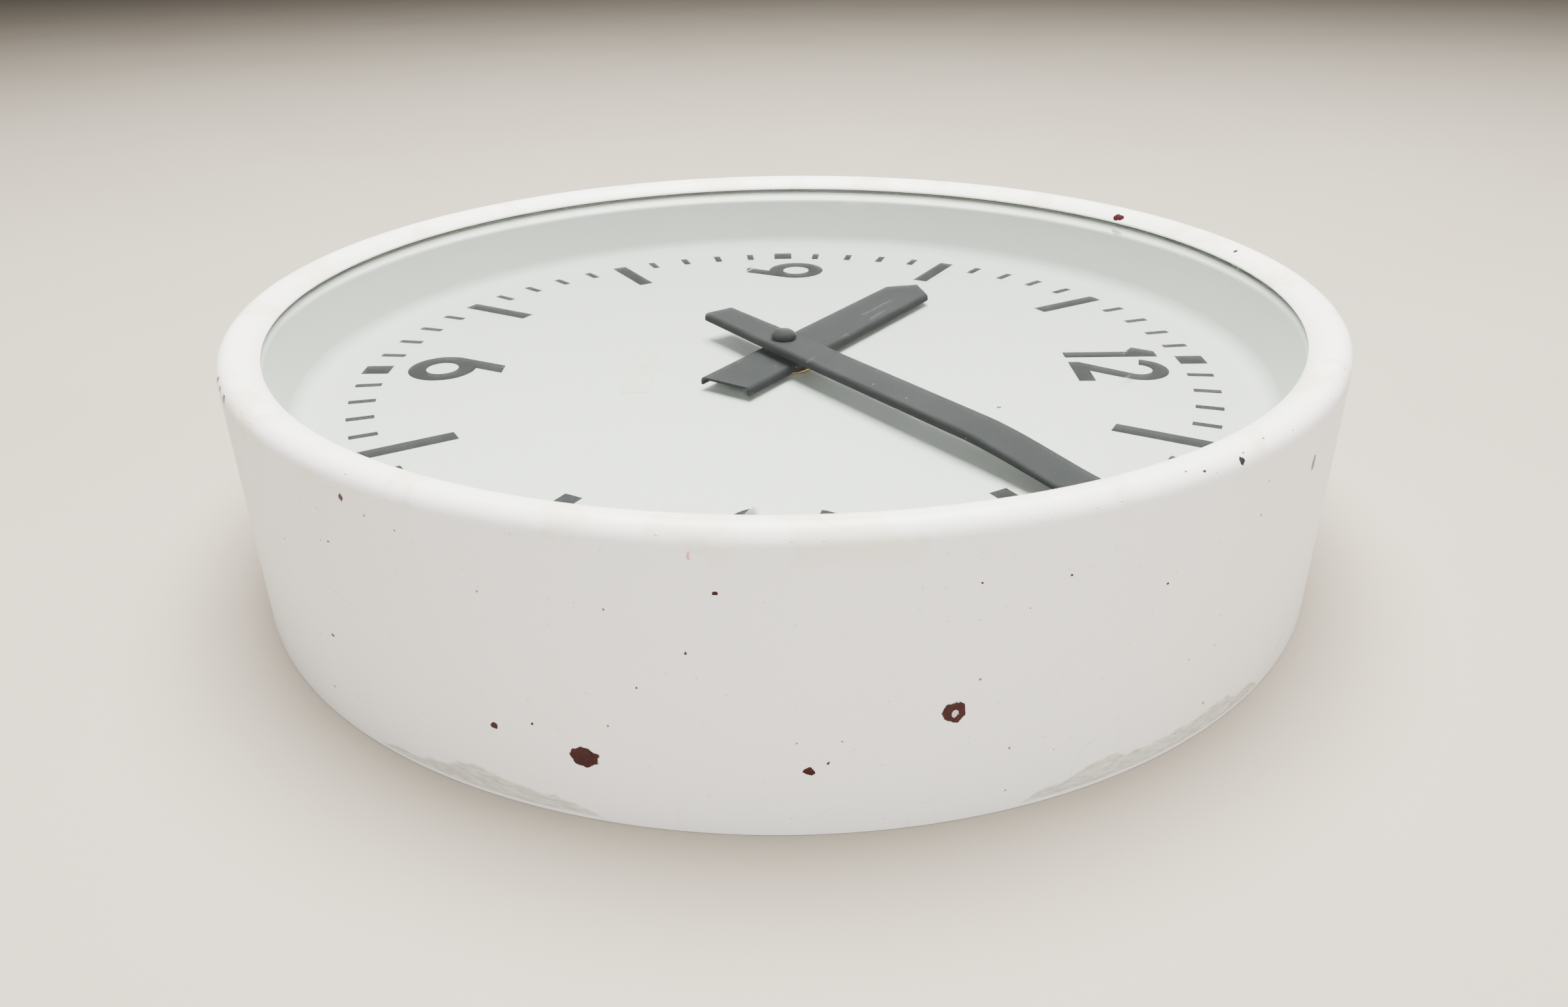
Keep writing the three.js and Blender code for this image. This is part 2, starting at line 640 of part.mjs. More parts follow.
// The turn that puts a gap of the second gear on the first gear's tooth at the line of centres.
function meshed(direction, teeth, phase, nextTeeth) {
  const line = THREE.MathUtils.degToRad(direction);
  const pitch = 2 * Math.PI / teeth;
  const late = ((line - phase) % pitch + pitch) % pitch;
  return line + Math.PI + late * teeth / nextTeeth - Math.PI / nextTeeth;
}

// Each level is the front face of a wheel; level 0 is next to the movement's front wall.
function level(number) {
  const high = wheelFront - number * LEVEL_STEP;
  return [high - WHEEL_THICKNESS, high];
}

function joined(first, ...others) {
  return others.reduce((body, other) => body.add(solid(other)), solid(first));
}

function addGears() {
  const arborFront = wheelFront;
  const arborBack = movementBack + 0.5;
  const bore = ARBOR_RADIUS + GAP;
  const [hourLow, hourHigh] = level(0);
  const [motionLow, motionHigh] = level(1);
  const [centreLow, centreHigh] = level(2);
  const [thirdLow, thirdHigh] = level(3);
  const [secondLow, secondHigh] = level(4);
  const [fastLow, fastHigh] = level(5);

  // Motion work: cannon pinion, motion wheel and its pinion, hour wheel with its pipe
  const cannonPhase = THREE.MathUtils.degToRad(MOTION_DIRECTION);
  const motionPhase = meshed(MOTION_DIRECTION, CANNON_TEETH, cannonPhase, MOTION_TEETH);
  const backLine = MOTION_DIRECTION + 180;
  const pinionPhase = THREE.MathUtils.degToRad(backLine);
  const hourPhase = meshed(backLine, MOTION_PINION_TEETH, pinionPhase, HOUR_TEETH);
  const pipeTop = hourTop + 0.9;
  const hourGear = gear(HOUR_TEETH, motionModule, wheelTooth, bore, hourLow, hourHigh, hourPhase);
  add('hour_wheel', joined(hourGear, ring(bore, PIPE_RADIUS, hourHigh - 0.5, pipeTop)), 'gear');
  const motionGear = gear(MOTION_TEETH, motionModule, wheelTooth, 0, motionLow, motionHigh, motionPhase);
  const leaf = gear(MOTION_PINION_TEETH, motionModule, pinionTooth, 0,
    motionHigh - 0.2, hourHigh, pinionPhase);
  const motionArbor = ring(0, FINE_ARBOR_RADIUS, arborBack - KNOB_REACH, motionLow + 0.2, 12);
  const motion = joined(motionGear, leaf, motionArbor);
  add('motion_wheel', solid(at(geometryOf(motion), motionPlace)), 'gear');

  // Going train: centre wheel, third wheel, second wheel, intermediate wheel, rotor
  const centrePhase = THREE.MathUtils.degToRad(THIRD_DIRECTION);
  const thirdPinionPhase = meshed(THIRD_DIRECTION, CENTRE_TEETH, centrePhase, THIRD_PINION_TEETH);
  const thirdBack = THIRD_DIRECTION + 180;
  const thirdPhase = THREE.MathUtils.degToRad(thirdBack);
  const secondPinionPhase = meshed(thirdBack, THIRD_TEETH, thirdPhase, SECOND_PINION_TEETH);
  const secondPhase = THREE.MathUtils.degToRad(INTERMEDIATE_DIRECTION);
  const middlePinionPhase = meshed(INTERMEDIATE_DIRECTION, SECOND_TEETH, secondPhase,
    INTERMEDIATE_PINION_TEETH);
  const middlePhase = THREE.MathUtils.degToRad(ROTOR_DIRECTION);
  const rotorPhase = meshed(ROTOR_DIRECTION, INTERMEDIATE_TEETH, middlePhase, ROTOR_TEETH);
  const cannonHub = ring(bore, 2.6, centreHigh - 0.2, motionLow + 0.2);
  add('centre_wheel', joined(
    gear(CENTRE_TEETH, CENTRE_MODULE, wheelTooth, bore, centreLow, centreHigh, centrePhase),
    cannonHub,
    gear(CANNON_TEETH, motionModule, pinionTooth, bore, motionLow, motionHigh, cannonPhase)), 'gear');
  add('third_wheel', at(geometryOf(joined(
    gear(THIRD_TEETH, thirdModule, wheelTooth, 0, thirdLow, thirdHigh, thirdPhase),
    gear(THIRD_PINION_TEETH, CENTRE_MODULE, pinionTooth, 0, thirdHigh - 0.2, centreHigh, thirdPinionPhase),
    ring(0, FINE_ARBOR_RADIUS, arborBack, arborFront, 12))), thirdPlace), 'gear');
  add('second_wheel', joined(
    gear(SECOND_TEETH, TRAIN_MODULE, wheelTooth, 0, secondLow, secondHigh, secondPhase),
    gear(SECOND_PINION_TEETH, thirdModule, pinionTooth, 0, secondHigh - 0.2, thirdHigh, secondPinionPhase),
    ring(0, FINE_ARBOR_RADIUS, arborBack, secondLow + 0.2, 12)), 'gear');
  add('intermediate_wheel', at(geometryOf(joined(
    gear(INTERMEDIATE_TEETH, TRAIN_MODULE, wheelTooth, 0, fastLow, fastHigh, middlePhase),
    gear(INTERMEDIATE_PINION_TEETH, TRAIN_MODULE, pinionTooth, 0,
      fastHigh - 0.2, secondHigh, middlePinionPhase),
    ring(0, FINE_ARBOR_RADIUS, arborBack, fastLow + 0.2, 12))), intermediatePlace), 'gear');
  add('rotor', at(geometryOf(joined(
    gear(ROTOR_TEETH, TRAIN_MODULE, pinionTooth, 0, fastLow, fastHigh + 0.2, rotorPhase),
    ring(0, ROTOR_RADIUS, fastHigh + 0.8, fastHigh + 0.8 + ROTOR_HEIGHT),
    ring(0, FINE_ARBOR_RADIUS, arborBack, fastHigh + 1.5, 12))), rotorPlace), 'magnet');

  // The minute arbor carries the centre wheel below and the minute hand above.
  const arborLow = centreLow + 0.2;
  const arborTop = minuteTop + CAP_HEIGHT - CAP_ROOF;
  add('minute_arbor', ring(0, ARBOR_RADIUS, arborLow, arborTop), 'steel');
}

function addKnob() {
  const top = movementBack - GAP;
  const bottom = top - KNOB_HEIGHT;
  const grips = 10;
  const shape = new THREE.Shape();
  for (let i = 0; i < grips * 2; i += 1) {
    const [x, y] = polar(i % 2 ? KNOB_RADIUS : KNOB_RADIUS - 0.6, 180 * i / grips);
    if (i === 0) shape.moveTo(x, y);
    else shape.lineTo(x, y);
  }
  shape.closePath();
  const socket = ring(0, FINE_ARBOR_RADIUS + GAP, top - KNOB_REACH, top + 1, 12);
  add('setting_knob', solid(at(geometryOf(cut(plate(shape, bottom, top), socket)), motionPlace)), 'plastic');
}

// ---- motor, board and battery ----

function addMotor() {
  const secondHigh = level(4)[1];
  const statorLow = secondHigh + GAP - 0.05;
  const [coilLow, coilHigh] = [coilX - COIL_LENGTH / 2, coilX + COIL_LENGTH / 2];
  const left = coilLow - 2.2;
  const right = coilHigh + 1.8;
  const top = coilY + CORE_WIDTH / 2;
  const bottom = rotorPlace[1] - ROTOR_RADIUS - STATOR_PLAY - 1.2;
  const yoke = polygon([
    [left, top], [left, bottom + 6], [left + 6, bottom], [right, bottom], [right, top],
    [coilHigh + GAP, top], [coilHigh + GAP, coilY - COIL_RADIUS - GAP],
    [coilLow - GAP, coilY - COIL_RADIUS - GAP], [coilLow - GAP, top],
  ]);
  const stator = cut(plate(yoke, statorLow, statorLow + STATOR_SHEET),
    at(ring(0, ROTOR_RADIUS + STATOR_PLAY, statorLow - 1, statorLow + 2), rotorPlace),
    at(ring(0, FINE_ARBOR_RADIUS + 1, statorLow - 1, statorLow + 2, 12), motionPlace));
  add('stator', stator, 'steel');
  const coreTop = statorLow - GAP;
  const coreMiddle = coreTop - 0.5;
  add('coil_core', block(left, right, coilY - CORE_WIDTH / 2, top, coreTop - 1, coreTop), 'steel');
  const bobbin = 0.8;
  const wound = COIL_RADIUS - 0.7;
  const bore = CORE_WIDTH / 2 + 0.6;
  add('coil', turned([
    [bore, coilLow], [COIL_RADIUS, coilLow], [COIL_RADIUS, coilLow + bobbin], [wound, coilLow + bobbin],
    [wound, coilHigh - bobbin], [COIL_RADIUS, coilHigh - bobbin], [COIL_RADIUS, coilHigh],
    [bore, coilHigh], [bore, coilLow],
  ], 20).rotateY(Math.PI / 2).translate(0, coilY, coreMiddle), 'copper');

  const boardLow = coverInner + 1;
  const boardLeft = -half + MOVEMENT_WALL + GAP + 0.4;
  const boardY = gearRoomLow + GAP;
  const board = block(boardLeft, boardLeft + BOARD_LENGTH, boardY, boardY + BOARD_WIDTH,
    boardLow, boardLow + BOARD_THICKNESS);
  add('circuit_board', board, 'board');
  add('quartz_crystal', ring(0, 1, 0, 6, 12).rotateY(Math.PI / 2)
    .translate(boardLeft + 12, boardY + BOARD_WIDTH - 2.4, boardLow + BOARD_THICKNESS + GAP + 1), 'steel');
}

function addBattery() {
  const middleY = (bayOuter + bayInner) / 2;
  const middleZ = movementFront - MOVEMENT_WALL - GAP - BATTERY_RADIUS;
  const start = -BATTERY_LENGTH / 2;
  const end = BATTERY_LENGTH / 2;
  add('battery', turned([
    [0, start], [BATTERY_RADIUS - 0.4, start], [BATTERY_RADIUS, start + 0.4], [BATTERY_RADIUS, end - 0.4],
    [BATTERY_RADIUS - 0.4, end], [BATTERY_NUB_RADIUS, end], [BATTERY_NUB_RADIUS, end + BATTERY_NUB],
    [0, end + BATTERY_NUB],
  ]).rotateY(Math.PI / 2).translate(0, middleY, middleZ), 'battery');
  const wall = half - MOVEMENT_WALL - GAP;
  const reach = 5;
  const ends = [['negative_contact', -1, start - GAP], ['positive_contact', 1, end + BATTERY_NUB + GAP]];
  for (const [name, side, touch] of ends) {
    const near = Math.abs(touch);
    const leaf = polygon([
      [side * wall, -reach], [side * wall, reach], [side * (wall - CONTACT_SHEET), reach],
      [side * near, reach * 0.3], [side * near, -reach * 0.3], [side * (wall - CONTACT_SHEET), -reach],
    ]);
    const strip = plate(leaf, -3.5, 3.5).rotateX(Math.PI / 2).translate(0, middleY, middleZ);
    add(name, strip, 'steel');
  }
}

// ---- hands ----

// A channel: a sheet with both long edges folded down, cut to an outline. The top and bottom
// lines are drawn from the tail to the tip as [distance, height] from the pivot.
function channel(outline, topLine, foldLine, width, bore) {
  const low = Math.min(...foldLine.map(([, z]) => z)) - 1;
  const high = Math.max(...topLine.map(([, z]) => z)) + 1;
  const across = (points, w) => plate(polygon(points), 0, w).rotateX(Math.PI / 2).translate(0, w / 2, 0);
  const outer = across([...foldLine, ...[...topLine].reverse()], width + 4);
  const sheetLine = topLine.map(([u, z]) => [u, z - HAND_SHEET]);
  const [tail, tailZ] = sheetLine[0];
  const [tip, tipZ] = sheetLine[sheetLine.length - 1];
  const stretched = [[tail - 5, tailZ], ...sheetLine, [tip + 5, tipZ]];
  const hollow = across([[tip + 5, low - 1], [tail - 5, low - 1], ...stretched], width - 2 * HAND_SHEET);
  return solid(outer)
    .subtract(solid(hollow))
    .intersect(solid(plate(polygon(outline), low, high)))
    .subtract(solid(ring(0, bore, low - 1, high + 1)));
}

function handOutline(tail, tip, width, tailWidth, point) {
  const w = width / 2;
  const t = tailWidth / 2;
  const shoulder = tip - point;
  return [[-tail, -t], [0, -w], [shoulder, -w], [tip, -0.6], [tip, 0.6], [shoulder, w], [0, w], [-tail, t]];
}

function bendLine(start, drop, length, steps = 8) {
  const points = [];
  for (let i = 0; i <= steps; i += 1) {
    const s = i / steps;
    points.push([start + length * s, -drop * (s * s * (3 - 2 * s) * 0.8 + s * s * 0.2)]);
  }
  return points;
}

function addHands() {
  const holeOver = (radius) => radius + GAP;
  const collet = BUSHING_BORE + 1;
  const hourShape = channel(
    handOutline(HOUR_HAND_TAIL, hourTip, HOUR_HAND_WIDTH, HOUR_HAND_WIDTH, HOUR_POINT),
    [[-HOUR_HAND_TAIL, hourTop], [hourTip, hourTop]],
    [[-HOUR_HAND_TAIL, hourTop - HAND_FOLD_DEPTH], [hourTip, hourTop - HAND_FOLD_DEPTH]],
    HOUR_HAND_WIDTH, holeOver(collet));
  const hour = add('hour_hand', hourShape, 'hand');
  hour.rotation.z = THREE.MathUtils.degToRad(90 - HOUR_ANGLE);
  const sheetLow = hourTop - HAND_SHEET;
  const colletTop = hourTop + 0.9;
  const pipeBore = PIPE_RADIUS + GAP;
  add('hour_collet', turned([
    [pipeBore, sheetLow - 0.5], [collet, sheetLow - 0.5], [collet, hourTop + GAP], [6, hourTop + GAP],
    [6, colletTop], [pipeBore, colletTop], [pipeBore, sheetLow - 0.5],
  ]), 'hand');

  const bendStart = minuteTip - MINUTE_BEND_LENGTH;
  const bend = bendLine(bendStart, MINUTE_BEND_DROP, MINUTE_BEND_LENGTH);
  const topLine = [[-MINUTE_HAND_TAIL, minuteTop], ...bend.map(([u, z]) => [u, minuteTop + z])];
  const foldLine = topLine.map(([u, z]) => {
    const along = Math.max(0, (u - bendStart) / MINUTE_BEND_LENGTH);
    const fold = HAND_FOLD_DEPTH + (HAND_SHEET + MINUTE_TIP_FOLD - HAND_FOLD_DEPTH) * along;
    return [u, z - fold];
  });
  const minuteCollet = MINUTE_COLLET_RADIUS;
  const minuteShape = channel(
    handOutline(MINUTE_HAND_TAIL, minuteTip, MINUTE_HAND_WIDTH, MINUTE_TAIL_WIDTH, MINUTE_POINT),
    topLine, foldLine, MINUTE_TAIL_WIDTH, holeOver(minuteCollet));
  const minute = add('minute_hand', minuteShape, 'hand');
  minute.rotation.z = THREE.MathUtils.degToRad(90 - MINUTE_ANGLE);
  const minuteBore = ARBOR_RADIUS + GAP;
  const underside = minuteTop - HAND_SHEET - GAP;
  add('minute_collet', turned([
    [minuteBore, colletTop + 0.6], [minuteCollet, colletTop + 0.6], [minuteCollet, underside - 0.7],
    [6, underside - 0.7], [6, underside], [minuteCollet, underside], [minuteCollet, minuteTop],
    [minuteBore, minuteTop], [minuteBore, colletTop + 0.6],
  ]), 'hand');
  const capLow = minuteTop + GAP;
  add('hand_cap', turned([
    [minuteBore, capLow], [CAP_RADIUS, capLow], [CAP_RADIUS, capLow + CAP_HEIGHT - 0.4],
    [CAP_RADIUS - 0.4, capLow + CAP_HEIGHT], [0, capLow + CAP_HEIGHT], [0, capLow + CAP_HEIGHT - CAP_ROOF],
    [minuteBore, capLow + CAP_HEIGHT - CAP_ROOF], [minuteBore, capLow],
  ]), 'hand');
}

addCase();
addDialPan();
addBrackets();
addRearCover();
addMovementCase();
addCentreFixing();
addGears();
addKnob();
addMotor();
addBattery();
addHands();

export default group;
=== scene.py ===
# %% [markdown]
# # A round wall clock, dressed in Blender
# The CAD model gives every piece its place and size. It is loaded first, as a frame that never
# moves, and each cell after that builds one piece or one finish on top of it.

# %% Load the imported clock
import math

import bmesh
import bpy
from mathutils import Matrix, Vector
from mathutils.geometry import tessellate_polygon


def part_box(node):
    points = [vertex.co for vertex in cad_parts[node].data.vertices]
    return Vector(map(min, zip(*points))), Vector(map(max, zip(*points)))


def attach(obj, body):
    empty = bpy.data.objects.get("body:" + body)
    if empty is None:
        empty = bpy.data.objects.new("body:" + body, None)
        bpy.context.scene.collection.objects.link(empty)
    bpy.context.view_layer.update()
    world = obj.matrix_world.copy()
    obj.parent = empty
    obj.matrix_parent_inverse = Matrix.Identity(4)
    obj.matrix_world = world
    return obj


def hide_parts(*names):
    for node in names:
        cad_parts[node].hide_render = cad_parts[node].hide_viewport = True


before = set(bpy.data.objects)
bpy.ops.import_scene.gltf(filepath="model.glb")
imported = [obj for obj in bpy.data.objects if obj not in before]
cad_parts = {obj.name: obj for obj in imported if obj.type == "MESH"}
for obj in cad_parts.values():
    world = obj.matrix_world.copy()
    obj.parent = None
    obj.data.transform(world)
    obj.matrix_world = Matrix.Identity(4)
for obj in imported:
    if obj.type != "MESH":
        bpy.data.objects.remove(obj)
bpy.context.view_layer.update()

# %% [markdown]
# Blender counts in metres and a clockmaker in millimetres. All sizes below are millimetres, and
# one number turns them into metres when a mesh is made. `span` asks the frame where a piece is,
# so the fine pieces land on the CAD ones without any fitting.

# %% Millimetres, and where each piece is
MM = 0.001


def span(node):
    low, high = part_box(node)
    return [v / MM for v in low], [v / MM for v in high]


def middle_of(node):
    low, high = span(node)
    return (low[0] + high[0]) / 2, (low[1] + high[1]) / 2


RADIUS, _, TOP = span("case_shell")[1]
PAN_SHEET = 1.0
pan_low, pan_high = span("dial_pan")
DIAL = pan_low[2] + PAN_SHEET
print(f"case radius {RADIUS:.1f}, depth {TOP:.1f}, dial surface at {DIAL:.1f}")

# %% [markdown]
# ## Camera, floor and light
# The clock lies on its back, and the camera stands beside the 3 and looks down across the dial.
# The lens is wide and close, which is why the near side of the drum looks so tall. A short lens
# needs no tricks: only the right distance, height and tilt.

# %% Camera
LENS, SENSOR = 27.21, 36.0
eye = Vector((0.4403, 0.0, 0.2209))
tilt, swing, lean = 0.46994, -0.0015728, -0.0122552  # radians
ahead = Vector((-math.cos(tilt), 0, -math.sin(tilt)))
aside = Vector((0, 1, 0))
upward = Vector((-math.sin(tilt), 0, math.cos(tilt)))
ahead, aside = (ahead * math.cos(swing) + aside * math.sin(swing),
                aside * math.cos(swing) - ahead * math.sin(swing))
aside, upward = (aside * math.cos(lean) + upward * math.sin(lean),
                 upward * math.cos(lean) - aside * math.sin(lean))
camera_data = bpy.data.cameras.new("clock_camera")
camera_data.lens = LENS
camera_data.sensor_width = SENSOR
camera_data.clip_start = 0.01
camera = bpy.data.objects.new("clock_camera", camera_data)
camera.matrix_world = Matrix((
    (aside.x, upward.x, -ahead.x, eye.x),
    (aside.y, upward.y, -ahead.y, eye.y),
    (aside.z, upward.z, -ahead.z, eye.z),
    (0, 0, 0, 1)))
bpy.context.scene.collection.objects.link(camera)
bpy.context.scene.camera = camera
print("camera", [round(v, 4) for v in eye], "lens", camera_data.lens)

# %% [markdown]
# Soft light has no single direction. A large lamp over the clock and two weaker ones at the
# sides do the work of windows and pale walls, and a pale sky fills what they leave dark.

# %% Lamps and sky


def soft_lamp(name, place, aim, size, watts, colour):
    data = bpy.data.lights.new(name, "AREA")
    data.shape, data.size, data.energy, data.color = "DISK", size, watts, colour
    lamp = bpy.data.objects.new(name, data)
    lamp.location = place
    lamp.rotation_euler = (Vector(aim) - Vector(place)).to_track_quat("-Z", "Y").to_euler()
    bpy.context.scene.collection.objects.link(lamp)


soft_lamp("ceiling_lamp", place=(-0.25, 0.05, 1.7), aim=(0, 0, 0), size=1.25, watts=215,
          colour=(1.0, 1.0, 0.985))
soft_lamp("window_lamp", place=(1.9, 0.1, 0.9), aim=(0.1, 0, 0.05), size=1.0, watts=45,
          colour=(0.97, 0.99, 1.0))
soft_lamp("wall_lamp", place=(0.7, 1.6, 0.7), aim=(0, 0, 0.05), size=1.0, watts=8,
          colour=(1.0, 0.93, 0.84))
sky = bpy.data.worlds.new("pale_room")
sky.use_nodes = True
background = sky.node_tree.nodes["Background"]
background.inputs["Color"].default_value = (0.93, 0.94, 0.96, 1)
background.inputs["Strength"].default_value = 0.1
bpy.context.scene.world = sky

# %% [markdown]
# ## Node helpers
# A finish is a small network of nodes. `node` adds one, sets its values and wires its inputs in a
# single call, so the code below reads like the list of what feeds what.

# %% Helpers for nodes


def feed(tree, socket, value):
    """Wire another node into the socket, or set a plain value on it."""
    if isinstance(value, bpy.types.NodeSocket):
        tree.links.new(value, socket)
    else:
        socket.default_value = value


def node(tree, kind, inputs=None, **settings):
    made = tree.nodes.new("ShaderNode" + kind)
    for key, value in settings.items():
        setattr(made, key, value)
    for name, value in (inputs or {}).items():
        feed(tree, made.inputs[name], value)
    return made


def maths(tree, operation, a, b=0.0, clamp=False):
    return node(tree, "Math", {0: a, 1: b}, operation=operation, use_clamp=clamp).outputs[0]


def weighted_sum(tree, start, *effects):
    total = start
    for amount, weight in effects:
        total = maths(tree, "ADD", total, maths(tree, "MULTIPLY", amount, weight))
    return total


def vector_maths(tree, operation, a, b=(0, 0, 0)):
    return node(tree, "VectorMath", {0: a, 1: b}, operation=operation).outputs[0]


def scaled(tree, vector, scale):
    return node(tree, "VectorMath", {0: vector, "Scale": scale}, operation="SCALE").outputs[0]


def ramp(tree, value, low, high, start=0.0, end=1.0):
    made = node(tree, "MapRange", {"Value": value, "From Min": low, "From Max": high,
                                   "To Min": start, "To Max": end}, interpolation_type="SMOOTHSTEP")
    return made.outputs["Result"]


def blend_colours(tree, share, first, second):
    made = node(tree, "Mix", data_type="RGBA")
    wanted = {"Factor_Float": share, "A_Color": first, "B_Color": second}
    for socket in made.inputs:
        if socket.identifier in wanted:
            value = wanted[socket.identifier]
            feed(tree, socket, (*value, 1) if isinstance(value, tuple) else value)
    return next(s for s in made.outputs if s.identifier == "Result_Color")


def lay_over(tree, under, over, mask, share=1.0):
    """A colour laid over another where the mask is white, as strongly as the share says."""
    return blend_colours(tree, maths(tree, "MULTIPLY", mask, share), under, over)


def linear(red, green, blue):
    """A colour as a paint card gives it, 0 to 255, as the linear light that nodes work in."""
    return tuple(((c / 255 + 0.055) / 1.055) ** 2.4 if c > 10 else c / 255 / 12.92
                 for c in (red, green, blue))


def new_group(name, inputs, outputs):
    tree = bpy.data.node_groups.new(name, "ShaderNodeTree")
    kinds = {"vector": "NodeSocketVector", "value": "NodeSocketFloat"}
    for label, kind, start in inputs:
        socket = tree.interface.new_socket(label, in_out="INPUT", socket_type=kinds[kind])
        if start is not None:
            socket.default_value = start
    for label, kind in outputs:
        tree.interface.new_socket(label, in_out="OUTPUT", socket_type=kinds[kind])
    return tree, tree.nodes.new("NodeGroupInput"), tree.nodes.new("NodeGroupOutput")


def use(tree, group, **values):
    made = tree.nodes.new("ShaderNodeGroup")
    made.node_tree = group
    for label, value in values.items():
        feed(tree, made.inputs[label.replace("_", " ")], value)
    return made


print("pure white is", linear(255, 255, 255))

# %% [markdown]
# ## Shared effects
# Dust, scratches, uneven colour and the faint ripple of sprayed paint show up in many finishes.
# Each is a node group made once, with its own dials on the outside, and each finish turns those
# dials to suit itself. A group gives out only amounts, masks, places and heights, and the shader
# stays outside.

# %% Group: cloudy variation
cloud, cloud_in, cloud_out = new_group(
    "cloudy_variation",
    [("Position", "vector", None), ("Patches per metre", "value", 20.0), ("Contrast", "value", 1.0)],
    [("Amount", "value")])
noise = node(cloud, "TexNoise", {"Vector": cloud_in.outputs["Position"],
                                 "Scale": cloud_in.outputs["Patches per metre"],
                                 "Detail": 4.0, "Roughness": 0.55})
centred = maths(cloud, "SUBTRACT", noise.outputs[0], 0.5)
spread = maths(cloud, "MULTIPLY", centred, cloud_in.outputs["Contrast"])
cloud.links.new(maths(cloud, "ADD", spread, 0.5, clamp=True), cloud_out.inputs["Amount"])
print("group", cloud.name)

# %% Groups: scattered specks and scattered dots


def speck_group(name, dimensions):
    """Round specks of many sizes. In 3D few meet the surface, in 2D all of them lie on it."""
    group, group_in, group_out = new_group(
        name,
        [("Position", "vector", None), ("Specks per metre", "value", 150.0),
         ("Largest", "value", 0.12), ("Share kept", "value", 0.3)],
        [("Mask", "value"), ("Height", "value")])
    cells = node(group, "TexVoronoi", {"Vector": group_in.outputs["Position"],
                                       "Scale": group_in.outputs["Specks per metre"]},
                 voronoi_dimensions=dimensions)
    chance = node(group, "SeparateColor", {"Color": cells.outputs["Color"]})
    size = maths(group, "MULTIPLY", chance.outputs[1], group_in.outputs["Largest"])
    kept = maths(group, "LESS_THAN", chance.outputs[0], group_in.outputs["Share kept"])
    inside = maths(group, "SUBTRACT", size, cells.outputs["Distance"])
    inside = maths(group, "DIVIDE", inside, maths(group, "MAXIMUM", size, 0.001), clamp=True)
    height = maths(group, "MULTIPLY", inside, kept)
    group.links.new(height, group_out.inputs["Height"])
    group.links.new(ramp(group, height, 0.0, 0.35), group_out.inputs["Mask"])
    print("group", group.name)
    return group


specks = speck_group("scattered_specks", "3D")
dots = speck_group("scattered_dots", "2D")

# %% Group: fine scratches
scratch, scratch_in, scratch_out = new_group(
    "fine_scratches",
    [("Position", "vector", None), ("Lines per metre", "value", 30.0), ("Turn", "value", 0.3),
     ("Thinness", "value", 0.985)],
    [("Mask", "value")])
turned_place = node(scratch, "VectorRotate", {"Vector": scratch_in.outputs["Position"],
                                              "Angle": scratch_in.outputs["Turn"]})
stretched = vector_maths(scratch, "MULTIPLY", turned_place.outputs[0], (1.0, 0.06, 1.0))
streaks = node(scratch, "TexNoise", {"Vector": stretched,
                                     "Scale": scratch_in.outputs["Lines per metre"],
                                     "Detail": 2.0, "Distortion": 0.4})
ridge = maths(scratch, "ABSOLUTE", maths(scratch, "SUBTRACT", streaks.outputs[0], 0.5))
ridge = maths(scratch, "SUBTRACT", 1.0, ridge)
line = maths(scratch, "GREATER_THAN", ridge, scratch_in.outputs["Thinness"])
broken = node(scratch, "TexNoise", {"Vector": scratch_in.outputs["Position"], "Scale": 45.0})
line = maths(scratch, "MULTIPLY", line, ramp(scratch, broken.outputs[0], 0.58, 0.66))
scratch.links.new(line, scratch_out.inputs["Mask"])
print("group", scratch.name)

# %% Group: sprayed ripple
ripple, ripple_in, ripple_out = new_group(
    "sprayed_ripple",
    [("Position", "vector", None), ("Ripples per metre", "value", 300.0), ("Lumps", "value", 0.3)],
    [("Height", "value")])
fine = node(ripple, "TexNoise", {"Vector": ripple_in.outputs["Position"],
                                 "Scale": ripple_in.outputs["Ripples per metre"], "Detail": 1.0})
wide = node(ripple, "TexNoise", {"Vector": ripple_in.outputs["Position"], "Scale": 22.0,
                                 "Detail": 2.0})
lumps = maths(ripple, "MULTIPLY", wide.outputs[0], ripple_in.outputs["Lumps"])
ripple.links.new(maths(ripple, "ADD", fine.outputs[0], lumps), ripple_out.inputs["Height"])
print("group", ripple.name)

# %% [markdown]
# ## A finish in one call
# Most finishes share one skeleton: a Principled shader, a little cloudiness in the colour, a
# little in the roughness, and a bump for the texture. `simple_finish` builds that skeleton, and
# the special finishes further down start from `blank_finish` and add their own parts.

# %% Helpers for finishes
DUST = linear(205, 203, 196)


def blank_finish(name, **constants):
    finish = bpy.data.materials.new(name)
    finish.use_nodes = True
    tree = finish.node_tree
    shader = tree.nodes["Principled BSDF"]
    for label, value in constants.items():
        shader.inputs[label.replace("_", " ")].default_value = value
    place = node(tree, "TexCoord").outputs["Object"]
    return finish, tree, shader, place


def clouds(tree, place, patches, contrast):
    """How much of the second tone shows here, in soft patches, so many to the metre."""
    return use(tree, cloud, Position=place, Patches_per_metre=patches, Contrast=contrast).outputs[0]


def paint(tree, shader, colour, amount, rough):
    """Wire the colour, and let the amount swing the roughness between its two values."""
    tree.links.new(colour, shader.inputs["Base Color"])
    tree.links.new(ramp(tree, amount, 0.0, 1.0, *rough), shader.inputs["Roughness"])


def emboss(tree, shader, height, strength, distance):
    bump = node(tree, "Bump", {"Height": height, "Strength": strength, "Distance": distance})
    tree.links.new(bump.outputs[0], shader.inputs["Normal"])


